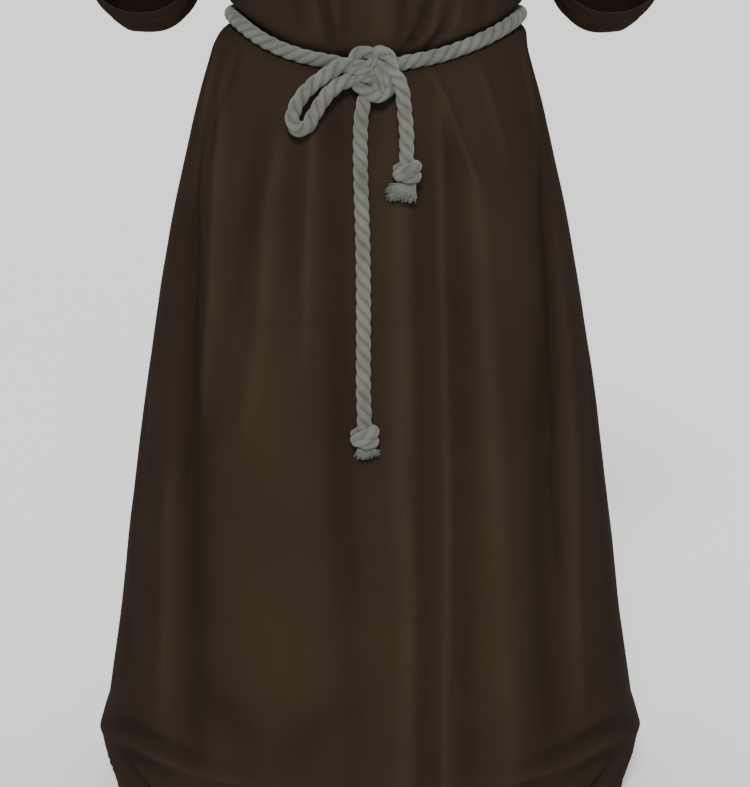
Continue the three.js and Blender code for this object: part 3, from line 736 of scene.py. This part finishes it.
def add_stopper(bm, route):
    end = route.frame_at(route.length)[0]
    for k, tilt in enumerate(STOPPER_TILTS):
        turn = Matrix.Rotation(math.radians(tilt), 3, "Y")
        lift = Vector((0, 0, k * STOPPER_RISE * MM))
        ring = []
        for step in range(STOPPER_POINTS + 1):
            share = step / STOPPER_POINTS
            angle = 2 * math.pi * share + STOPPER_START + k
            across = math.cos(angle) * STOPPER_RING
            back = math.sin(angle) * STOPPER_RING
            flat = Vector((across, back, (share - 0.5) * STOPPER_SPIRAL)) * MM
            ring.append(end + lift + turn @ flat)
        loop = Route(ring)
        add_rope(bm, loop, 0, loop.length, STOPPER_TUBE * MM, taper=KNOT_TAPER)
    add_rope(bm, route, route.length - STOPPER_STUB * MM, route.length, radius)


def add_tuft(bm, route, tuft):
    """A brush of yarns: each leans left or right by its place in the row, and curls a little."""
    end = route.frame_at(route.length)[0]
    drop = STOPPER_TUBE + STOPPER_RING * math.sin(math.radians(STOPPER_TILTS[0]))
    root_middle = end - Vector((0, 0, (drop - ROOT_INSIDE) * MM))
    for k in range(tuft.yarns):
        row_place, deep, ragged, strewn = [(k * step) % 1.0 for step in STREWN_STEPS]
        toward_right = (PLACE_SHARE * row_place + STREWN_SHARE * strewn) ** TUFT_LEAN_POWER
        across = 2 * row_place - 1
        deep = 2 * deep - 1
        lean = math.radians(mix(tuft.left_lean, tuft.right_lean, toward_right))
        length = tuft.length * (SHORTEST + RAGGED * ragged * ragged)
        length /= max(abs(math.sin(lean)) / TUFT_SPREAD, abs(math.cos(lean)))
        heading = Vector((
            -math.sin(lean),
            -math.sin(math.radians(tuft.forward_lean + TUFT_DEEP_LEAN * deep)),
            -math.cos(lean),
        )).normalized()
        side = heading.orthogonal().normalized()
        third = heading.cross(side)
        root = root_middle + MM * Vector((
            across * tuft.root_width, deep * TUFT_DEPTH, -abs(across) * ROOT_BOW))
        curl = Vector((math.sin(5.1 * k), math.cos(3.7 * k), 0.5 * math.sin(2.3 * k)))
        curl *= YARN_CURL * MM

        def place(u, v):
            middle = root + heading * (length + ROOT_INSIDE) * v * MM + curl * v * v
            thin = YARN_RADIUS * (1 - YARN_THINS * v) * MM
            round_it = side * math.cos(2 * math.pi * u) + third * math.sin(2 * math.pi * u)
            # Each yarn carries the top relief value, so its colour takes the full crown factor: a
            # painted highlight.
            return middle + round_it * thin, 1.0

        close_tube(bm, grid_sheet(bm, YARN_AROUND, YARN_ROWS, place, YARN_UV))


# %% [markdown]
# Every piece of rope is finished in the same way: it gets its cotton, rides on the robe, and
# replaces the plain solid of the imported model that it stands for. A free end is three pieces.

# %% Free ends and bow


def finish_rope(name, bm, node):
    """Make the object of a piece of rope and let it replace its plain solid."""
    bmesh.ops.recalc_face_normals(bm, faces=bm.faces[:])
    piece = new_object(name, bm, cotton)
    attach(piece, "root")
    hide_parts(node)
    print(name, "faces:", len(piece.data.polygons))
    return piece


def make_free_end(label, route, stub, tuft):
    """The hanging rope, its stopper knot and its frayed tip."""
    rope_bm = bmesh.new()
    add_rope(rope_bm, route, stub * MM, route.length - STOPPER_STUB * MM, radius)
    rope = finish_rope(label + "_end", rope_bm, "rope_" + label)
    stopper_bm = bmesh.new()
    add_stopper(stopper_bm, route)
    stopper = finish_rope(label + "_stopper", stopper_bm, label + "_knot")
    tuft_bm = bmesh.new()
    add_tuft(tuft_bm, route, tuft)
    tip = finish_rope(label + "_tip", tuft_bm, label + "_fray")
    return rope, stopper, tip


short_end, short_stopper, short_tip = make_free_end("short", short_route, SHORT_STUB, SHORT_TUFT)
long_end, long_stopper, long_tip = make_free_end("long", long_route, LONG_STUB, LONG_TUFT)

bow_bm = bmesh.new()
add_rope(bow_bm, bow_route, BOW_STUB * MM, bow_route.length - BOW_STUB * MM, radius)
bow = finish_rope("bow_loop", bow_bm, "rope_bow")

# %% [markdown]
# The three pieces of rope that hang free would swing if the robe moved. Their lengths along
# the route are printed here. The bow goes back into the knot.


def declare(piece, route, start, end):
    path = route.points_between(start, end)
    print(piece.name, "length in mm:", round((end - start) / MM))


declare(bow, bow_route, BOW_STUB * MM, bow_route.length - BOW_STUB * MM)
declare(short_end, short_route, SHORT_STUB * MM, short_route.length - STOPPER_STUB * MM)
declare(long_end, long_route, LONG_STUB * MM, long_route.length - STOPPER_STUB * MM)

# %% [markdown]
# The rope round the waist comes next, and the knot in front. The knot is tied from the same
# rope and pulled tight, so it is made of the strands that show: two bights at the top, a turn
# under the front, wraps across the middle, and the roots of the rope that runs into it. A
# round core fills the gaps between them. Each strand has its radius and then its points.

# %% Belt and waist knot
KNOT_STRANDS = [
    # two bights over the top
    (9.2, [(-24, 166, 1008), (-22, 178, 1023), (-15, 184, 1035), (-3, 184, 1037), (5, 176, 1026)]),
    (9.4, [(4, 170, 1020), (7, 182, 1033), (15, 187, 1038), (25, 188, 1031), (29, 188, 1014),
           (28, 186, 1000), (20, 180, 990)]),
    # the turn under the front
    (8.8, [(25, 176, 1004), (26, 186, 993), (19, 190, 984), (6, 191, 981), (-5, 190, 986),
           (-14, 186, 994), (-20, 174, 998)]),
    # the middle strand that the others are pulled over
    (7.6, [(12, 176, 1027), (14, 190, 1019), (13, 195, 1007), (10, 193, 995), (6, 182, 985)]),
    (6.8, [(19, 178, 1024), (20, 191, 1014), (20, 195, 1003), (17, 192, 992), (12, 182, 984)]),
    # wraps across the left of the middle
    (6.8, [(-26, 176, 1019), (-16, 189, 1023), (-5, 193, 1021), (5, 189, 1025), (11, 178, 1031)]),
    (7.2, [(-28, 174, 1009), (-17, 190, 1014), (-6, 195, 1013), (4, 192, 1012), (12, 180, 1014)]),
    (6.6, [(-27, 172, 1000), (-16, 189, 1003), (-5, 195, 1005), (4, 193, 1002), (10, 182, 998)]),
]
CORE_MIDDLE, CORE_SIZE = (2, 173, 1008), (22, 13, 24)

belt_bm = bmesh.new()
add_rope(belt_bm, belt_route, BELT_STUB * MM, belt_route.length - BELT_STUB * MM, radius)
finish_rope("belt_rope", belt_bm, "rope_belt")

knot_bm = bmesh.new()
for strand_size, spots in KNOT_STRANDS:
    strand_route = Route([at(*spot) for spot in spots])
    add_rope(knot_bm, strand_route, 0, strand_route.length, strand_size * MM, taper=KNOT_TAPER)
for route, stub in ((belt_route, BELT_STUB), (bow_route, BOW_STUB)):
    add_rope(knot_bm, route, 0, stub * MM, radius)
    add_rope(knot_bm, route, route.length - stub * MM, route.length, radius)
add_rope(knot_bm, short_route, 0, SHORT_STUB * MM, radius)
add_rope(knot_bm, long_route, 0, LONG_STUB * MM, radius)
# The core carries no relief value, so its colour takes the full groove factor: painted shade between
# the strands.
core = bmesh.ops.create_icosphere(knot_bm, subdivisions=3, radius=1.0)
bmesh.ops.scale(knot_bm, verts=core["verts"], vec=[size * MM for size in CORE_SIZE])
bmesh.ops.translate(knot_bm, verts=core["verts"], vec=at(*CORE_MIDDLE))
finish_rope("waist_knot", knot_bm, "rope_knot")

# %% [markdown]
# The robe's cloth is a plain, fine, dark brown twill, such as a cotton and polyester gabardine.
# It is quite matt. Its colour gets painted shade in the hollows and a painted highlight on the
# ridges. The inner face, which shows in the sleeve mouths, gets a darker copy of the cloth as
# painted shade. A real thread is about 0.3 mm, and it is drawn three times as coarse, so that a
# close view shows the weave.

# %% Robe cloth
CLOTH_LIGHT = "#292118"
CLOTH_DARK = "#231b15"
# The inner face's colours: the cloth darkened as painted shade, for the shadow inside the sleeves.
INSIDE_PAINTED_SHADE_LIGHT = "#1c150f"
INSIDE_PAINTED_SHADE_DARK = "#15100b"
THREAD = 0.0009
# Painted shade in the hollows and a painted highlight on the ridges, as factors on the colour by
# relief.
DEEP_HOLLOW, HOLLOW_SHADE = -9.0, 0.62
HIGH_RIDGE, RIDGE_PAINTED_HIGHLIGHT = 8.0, 1.1


def cloth_material(name, light, dark):
    material, tree = new_material(name)
    on_cloth = {"Vector": add_node(tree, "ShaderNodeUVMap").outputs["UV"]}
    twill, warp = [add_node(tree, "ShaderNodeTexWave",
                            {"wave_type": "BANDS", "bands_direction": direction,
                             "Scale": WAVE_REPEAT / THREAD, "Distortion": 0.6, "Detail": 1.0},
                            on_cloth) for direction in ("DIAGONAL", "X")]
    weave = add_node(tree, "ShaderNodeMix",
                     {"data_type": "FLOAT", 0: 0.4},
                     {2: twill.outputs["Fac"], 3: warp.outputs["Fac"]})
    in_space = {"Vector": add_node(tree, "ShaderNodeTexCoord").outputs["Object"]}
    clouds = add_node(tree, "ShaderNodeTexNoise",
                      {"Scale": 7.0, "Detail": 3.0, "Roughness": 0.5}, in_space)
    slubs = add_node(tree, "ShaderNodeTexNoise", {"Scale": 260.0, "Detail": 2.0}, on_cloth)
    mottle = add_node(tree, "ShaderNodeMix",
                      {"data_type": "FLOAT", 0: 0.35},
                      {2: clouds.outputs["Fac"], 3: slubs.outputs["Fac"]})
    tone = add_node(tree, "ShaderNodeMix",
                    {"data_type": "FLOAT", 0: 0.25},
                    {2: mottle.outputs[0], 3: weave.outputs[0]})
    shade = {"From Min": DEEP_HOLLOW, "From Max": HIGH_RIDGE,
             "To Min": HOLLOW_SHADE, "To Max": RIDGE_PAINTED_HIGHLIGHT}
    finish_yarn(tree, tone.outputs[0], [(0.3, dark), (0.7, light)], shade,
                weave.outputs[0], {"Strength": 0.25, "Distance": 0.0003},
                {"Roughness": 0.8, "Specular IOR Level": 0.01, "Sheen Weight": 0.003,
                 "Sheen Roughness": 0.5})
    return material


gabardine = cloth_material("brown_gabardine", CLOTH_LIGHT, CLOTH_DARK)
inside_painted_shade = cloth_material("brown_gabardine_inside_painted_shade", INSIDE_PAINTED_SHADE_LIGHT, INSIDE_PAINTED_SHADE_DARK)
print("threads of the cloth are drawn this wide, mm:", THREAD / MM)

# %% [markdown]
# Above the underarm, front and back close towards the shoulder seam, and the neck and the
# armholes are cut away. The climb runs from 0 at the underarm to 1 at the upper edge, and the
# share from 0 at the middle of the front or back to 1 at the armhole.

# %% Yoke
SHOULDER_ACROSS, SHOULDER_HEIGHT = 212, 1440
NECK_ACROSS, NECK_HEIGHT, NECK_SHARE = 78, ROBE_LENGTH, 0.45
NECK_FRONT, NECK_BACK = 1402, 1464
ARMHOLE_WIDEN, ARMHOLE_SCOOP, ARMHOLE_GAP, ARMHOLE_EASE = 0.28, 10, 0.4, 1.6
SEAM, SEAM_SHOWN = 0.3, 0.12
SHOULDER_SLOPE = (NECK_HEIGHT - SHOULDER_HEIGHT) / (SHOULDER_ACROSS - NECK_ACROSS)
SIDE = math.pi / 2


def shoulder_line(across):
    return SHOULDER_HEIGHT + (SHOULDER_ACROSS - across) * SHOULDER_SLOPE


def top_edge(share, front_height):
    if share < NECK_SHARE:
        turn = share / NECK_SHARE * math.pi / 2
        return NECK_ACROSS * math.sin(turn), mix(front_height, NECK_HEIGHT, 1 - math.cos(turn))
    along = (share - NECK_SHARE) / (1 - NECK_SHARE)
    return mix(NECK_ACROSS, SHOULDER_ACROSS, along), mix(NECK_HEIGHT, SHOULDER_HEIGHT, along)


def yoke_at(around, climb, finished=True):
    """Outer face of the yoke in millimetres, its outward direction and its fold relief."""
    foot = BODY_SECTIONS[-1]
    square = foot.square
    is_front = math.cos(around) > 0
    around = around - 2 * math.pi * round(around / (2 * math.pi))
    side = 1 if math.sin(around) >= 0 else -1
    share = abs(around if is_front else math.pi - abs(around)) / SIDE
    start, _ = unit_round(around, square)
    top_across, top_height = top_edge(share, NECK_FRONT if is_front else NECK_BACK)
    scoop = ARMHOLE_SCOOP * math.sin(math.pi * climb) * share ** 6
    across = mix(abs(start) * foot.half_width, top_across, climb) - scoop
    rise = (top_height - UNDERARM) / (shoulder_line(top_across) - UNDERARM)
    lean = climb * math.asin(min(1.0, rise))
    tall = shoulder_line(across) - UNDERARM
    height = UNDERARM + tall * math.sin(lean)
    wide = foot.half_width + ARMHOLE_WIDEN * (height - UNDERARM)
    ratio = min(1.0, across / wide)
    depth = (1 - ratio ** square) ** (1 / square)
    facing = -1 if is_front else 1
    outward = Vector((
        side * (ratio ** (square - 1) / wide * math.cos(lean) ** 2
                + depth ** square * math.sin(lean) ** 2 * SHOULDER_SLOPE / tall),
        facing * depth ** (square - 1) / foot.half_depth * math.cos(lean),
        depth ** square * math.sin(lean) / tall,
    )).normalized()
    forward = foot.half_depth * depth * math.cos(lean) + SEAM / 2 * math.sin(lean)
    point = Vector((side * across + SWAY_ASIDE, facing * forward, height - ROBE_LENGTH))
    relief = 0.0
    if finished:
        girth = (foot.half_width + foot.half_depth) / 2
        relief = fold_out(around, height, girth) + small_relief(around, height, girth)
        relief *= (1 - share ** 6) * (1 - climb ** 4)
        point += outward * relief
    return point, outward, relief


print("slope of the shoulder in degrees:", round(math.degrees(math.atan(SHOULDER_SLOPE)), 1))

# %% [markdown]
# A panel is a bmesh grid laid over the surface between two seams. Its rows are dense where the
# cloth turns sharply, at the break above the hem and along the rope. Solidify then gives the
# sheet its thickness inwards, as a modifier, so the outer face stays on the form.

# %% Seams and rows
Seam = namedtuple("Seam", "height around")
Line = namedtuple("Line", "height across")
FRONT_SEAM = [Line(0, 62), Line(840, 61), Line(1000, 50), Line(1200, 10)]
GORE_TOP = 1040
GORE_SEAM = [
    Seam(0, 44.7),
    Seam(110, 43.4),
    Seam(260, 45.5),
    Seam(433, 47.2),
    Seam(546, 48.7),
    Seam(756, 54.3),
    Seam(935, 65),
    Seam(GORE_TOP, 89.7),
]
YOKE_ROWS = 34


def heights_between(start, stop, step):
    count = max(1, round((stop - start) / step))
    return [mix(start, stop, k / count) for k in range(count)]


SKIRT_ROWS = (heights_between(0, 30, 3) + heights_between(30, 66, 6)
              + heights_between(66, BREAK_HEIGHT, 3.5) + heights_between(BREAK_HEIGHT, 122, 3.5)
              + heights_between(122, 640, 7.5) + heights_between(640, 700, 4)
              + heights_between(700, 980, 7.5) + heights_between(980, GORE_TOP, 4) + [GORE_TOP])
BODICE_ROWS = heights_between(GORE_TOP, 1115, 3)[1:] + heights_between(1115, UNDERARM, 6) + [UNDERARM]


def front_seam(height):
    section = section_at(height)
    across = look_up(FRONT_SEAM, "across", height)
    share = (abs(across) / section.half_width) ** section.square
    return math.atan((share / (1 - share)) ** (1 / section.square))


def gore_seam(height):
    if height > GORE_TOP:
        return SIDE
    return math.radians(look_up(GORE_SEAM, "around", height))


def seam_inset(around, height):
    """Half the seam's width, as an angle."""
    section = section_at(height)
    step = 0.01
    a = unit_round(around - step, section.square)
    b = unit_round(around + step, section.square)
    run = math.hypot((b[0] - a[0]) * section.half_width, (b[1] - a[1]) * section.half_depth)
    return SEAM_SHOWN / 2 * (2 * step / run)


print("rows in a whole panel:", len(SKIRT_ROWS) + len(BODICE_ROWS) + YOKE_ROWS)

# %% [markdown]
# Every piece of cloth is finished alike. Its cut edges are marked sharp, so the turned edge
# catches the light, and the inner face gets a darker copy of the cloth, painted shade, as its
# material.

# %% Panels
CLOTH_SHOWN = 1.4


def finish_panel(name, bm, node):
    """Make the object of a piece of cloth, thicken it, and let it replace its plain solid."""
    for edge in bm.edges:
        edge.smooth = not edge.is_boundary
    piece = new_object(name, bm, gabardine, inside_painted_shade)
    thickness = piece.modifiers.new("cloth_thickness", "SOLIDIFY")
    thickness.thickness = CLOTH_SHOWN * MM
    thickness.offset = -1
    # The inner face takes the darker copy of the cloth: painted shade.
    thickness.material_offset = 1
    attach(piece, "root")
    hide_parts(node)
    faces = piece.data.polygons
    print(name, "faces:", len(faces), "area in m2:", round(sum(face.area for face in faces), 3))
    return piece


def make_panel(name, node, left, right, columns, with_yoke):
    """A panel between two seams, as an open sheet with a Solidify modifier."""
    rows = SKIRT_ROWS + (BODICE_ROWS if with_yoke else [])
    climbs = [((k + 1) / YOKE_ROWS) ** ARMHOLE_EASE for k in range(YOKE_ROWS)] if with_yoke else []
    last = len(rows) + len(climbs) - 1
    edges = {height: (left(height) + seam_inset(left(height), height),
                      right(height) - seam_inset(right(height), height)) for height in rows}

    def place(u, v):
        row = round(v * last)
        if row < len(rows):
            height = rows[row]
            around = mix(*edges[height], u)
            point, _, relief = body_at(around, row_height(around, height))
        else:
            around = mix(*edges[UNDERARM], u)
            point, _, relief = yoke_at(around, climbs[row - len(rows)])
        return point * MM, relief

    hem = edges[0]
    section = section_at(0)
    width = abs(hem[1] - hem[0]) * (section.half_width + section.half_depth) / 2 * MM
    length = (ROBE_LENGTH if with_yoke else GORE_TOP) * MM
    bm = bmesh.new()
    grid_sheet(bm, columns, last, place, (width, length))
    return finish_panel(name, bm, node)


def gore_edge(start, side):
    """A gore's seam, as an angle at a height, counted from the front or the back middle."""
    return lambda height: start + side * gore_seam(height)


front_right = make_panel("front_right_panel", "front_right", gore_edge(0, -1), front_seam, 108, True)
front_left = make_panel("front_left_panel", "front_left", front_seam, gore_edge(0, 1), 80, True)
back = make_panel("back_panel", "back", gore_edge(math.pi, -1), gore_edge(math.pi, 1), 96, True)
gore_left = make_panel("gore_left_panel", "gore_left",
                       gore_edge(0, 1), gore_edge(math.pi, -1), 56, False)
gore_right = make_panel("gore_right_panel", "gore_right",
                        gore_edge(-math.pi, 1), gore_edge(0, -1), 56, False)

# %% [markdown]
# A sleeve is a tube from the armhole to the cuff. Rings stand below the shoulder, at the bend
# and at the cuff, and smooth lines run through matching points of all the rings. The cloth
# hangs in a bag behind the cuff, as a wide sleeve does when it is held forward.

# %% Sleeves
Ring = namedtuple("Ring", "out forward height turn half_width half_height kick")
SLEEVE_RINGS = [
    Ring(246, 0, 1283, 22, 84, 126, 4),
    Ring(280, 14, 1236, 45, 86, 138, 10),
    Ring(298, 58, 1199, 66, 86, 140, 14),
    Ring(305, 108, 1187, 78, 84, 122, 6),
    Ring(308, 152, 1186, 80, 80, 100, -10),
]
SleeveFold = namedtuple("SleeveFold", "start_round start_along end_round end_along width out")
SLEEVE_FOLDS = [
    SleeveFold(150, 0.15, 70, 0.75, 13, 5),
    SleeveFold(120, 0.2, 40, 0.8, 12, -5),
    SleeveFold(95, 0.3, 20, 0.85, 11, 4),
    SleeveFold(200, 0.1, 250, 0.8, 14, -4),
    SleeveFold(225, 0.15, 290, 0.85, 14, 4),
    SleeveFold(260, 0.2, 325, 0.8, 12, -4),
    SleeveFold(180, 0.3, 160, 0.95, 14, 3),
    SleeveFold(330, 0.35, 350, 0.9, 12, 3),
]
SLEEVE_SQUARE = 2.3
SLEEVE_ROWS, SLEEVE_COLUMNS = 64, 96
SLEEVE_RADIUS = 100
SLEEVE_UV = (0.62, 0.34)
SLEEVE_ROOT = Ring(205, 0, 1320, 0, 0, 0, 0)
SLEEVE_FADE, ARMHOLE_FADE = 0.25, 0.12
CUFF_TURN, CUFF_STITCH, CUFF_STITCH_WIDTH, CUFF_RELIEF = 0.93, 0.925, 0.008, 0.5
SLEEVE_UNEVEN, UNEVEN_SCALE = 1.2, 0.02


def sleeve_ring(side, row, turn_round):
    """A point of a ring; turn_round is 0 at the sleeve's lowest line."""
    turn = math.radians(row.turn)
    aside, drop = unit_round(turn_round, SLEEVE_SQUARE)
    forward = row.forward + aside * row.half_width * math.cos(turn) + drop * row.kick
    aside *= row.half_width
    drop *= row.half_height
    out = row.out - aside * math.sin(turn)
    return Vector((side * out + SWAY_ASIDE, -forward, row.height - drop - ROBE_LENGTH))


def armhole_spot(side, turn_round):
    share = turn_round / math.pi
    is_front = share <= 1
    climb = (share if is_front else 2 - share) ** ARMHOLE_EASE
    inset = seam_inset(SIDE, UNDERARM)
    around = side * (SIDE - inset if is_front else SIDE + inset)
    point, _, _ = yoke_at(around, climb, finished=False)
    point.x += side * ARMHOLE_GAP
    point.z += ARMHOLE_GAP * (1 - climb)
    return point


def sleeve_fold_out(turn_round, along):
    total = 0.0
    for fold in SLEEVE_FOLDS:
        share = (along - fold.start_along) / (fold.end_along - fold.start_along)
        middle = math.radians(mix(fold.start_round, fold.end_round, min(1.0, max(0.0, share))))
        aside = turn_round - middle
        aside -= 2 * math.pi * round(aside / (2 * math.pi))
        fade = ease(share / SLEEVE_FADE + 0.5) * ease((1 - share) / SLEEVE_FADE + 0.5)
        total += fold.out * bell(aside * SLEEVE_RADIUS, fold.width) * fade
    return total


def make_sleeve(name, node, side):
    middles = []
    for row in [SLEEVE_ROOT] + SLEEVE_RINGS:
        middles.append(Vector((side * row.out + SWAY_ASIDE, -row.forward, row.height - ROBE_LENGTH)))

    def place(u, v):
        turn_round = 2 * math.pi * (u % 1.0)
        keys = [armhole_spot(side, turn_round)]
        keys += [sleeve_ring(side, row, turn_round) for row in SLEEVE_RINGS]
        point = through(keys, v)
        outward = (point - through(middles, v)).normalized()
        hem = CUFF_RELIEF * ease((v - CUFF_TURN) / 0.01)
        hem -= CUFF_RELIEF * bell(v - CUFF_STITCH, CUFF_STITCH_WIDTH)
        uneven = SLEEVE_UNEVEN * noise.noise(point * UNEVEN_SCALE)
        away = ease(v / ARMHOLE_FADE)
        relief = (sleeve_fold_out(turn_round, v) * (1 - 0.6 * v) + uneven) * away + hem
        return (point + outward * relief) * MM, relief

    bm = bmesh.new()
    verts = grid_sheet(bm, SLEEVE_COLUMNS, SLEEVE_ROWS, place, SLEEVE_UV)
    bmesh.ops.remove_doubles(bm, verts=verts, dist=1e-6)
    if side > 0:
        bmesh.ops.reverse_faces(bm, faces=bm.faces[:])
    return finish_panel(name, bm, node)


sleeve_right = make_sleeve("sleeve_right_tube", "sleeve_right", -1)
sleeve_left = make_sleeve("sleeve_left_tube", "sleeve_left", 1)

# %% [markdown]

# %% [markdown]
# A plain pale floor of painted card and soft studio light. The floor is wide, because the
# camera looks down and sees nothing but floor behind the robe. Two large soft lights and a
# white world keep the shading gentle, so that the folds show as broad light and dark bands.

# %% Stage and light
FLOOR_SIZE = 40
FLOOR_DROP = 0.0005
FLOOR_PAINT = "#f4f4f2"
WORLD_STRENGTH = 0.75

pale, pale_tree = new_material("pale_floor")
pale_shader = add_node(pale_tree, "ShaderNodeBsdfPrincipled",
                       {"Base Color": linear(FLOOR_PAINT), "Roughness": 0.9,
                        "Specular IOR Level": 0.1})
add_node(pale_tree, "ShaderNodeOutputMaterial", {}, {"Surface": pale_shader.outputs["BSDF"]})
floor_bm = bmesh.new()
made = bmesh.ops.create_grid(floor_bm, x_segments=1, y_segments=1, size=FLOOR_SIZE)
bmesh.ops.translate(floor_bm, verts=made["verts"], vec=(0, 0, -ROBE_LENGTH * MM - FLOOR_DROP))
new_object("studio_floor", floor_bm, pale)

world = bpy.data.worlds.new("studio_world")
bpy.context.scene.world = world
world.use_nodes = True
world.node_tree.nodes["Background"].inputs["Color"].default_value = (1, 1, 1, 1)
world.node_tree.nodes["Background"].inputs["Strength"].default_value = WORLD_STRENGTH


def soft_sun(name, from_side, from_above, softness, strength):
    """A sun behind a large diffuser: where it stands and its width are in degrees."""
    data = bpy.data.lights.new(name, "SUN")
    data.angle = math.radians(softness)
    data.energy = strength
    lamp = bpy.data.objects.new(name, data)
    bpy.context.scene.collection.objects.link(lamp)
    lamp.rotation_euler = (math.radians(90 - from_above), 0, math.radians(from_side))
    print(name, "strength:", strength)


soft_sun("key_light", -3, 30, 14, 4.3)
soft_sun("fill_light", 4, 5, 30, 1.7)
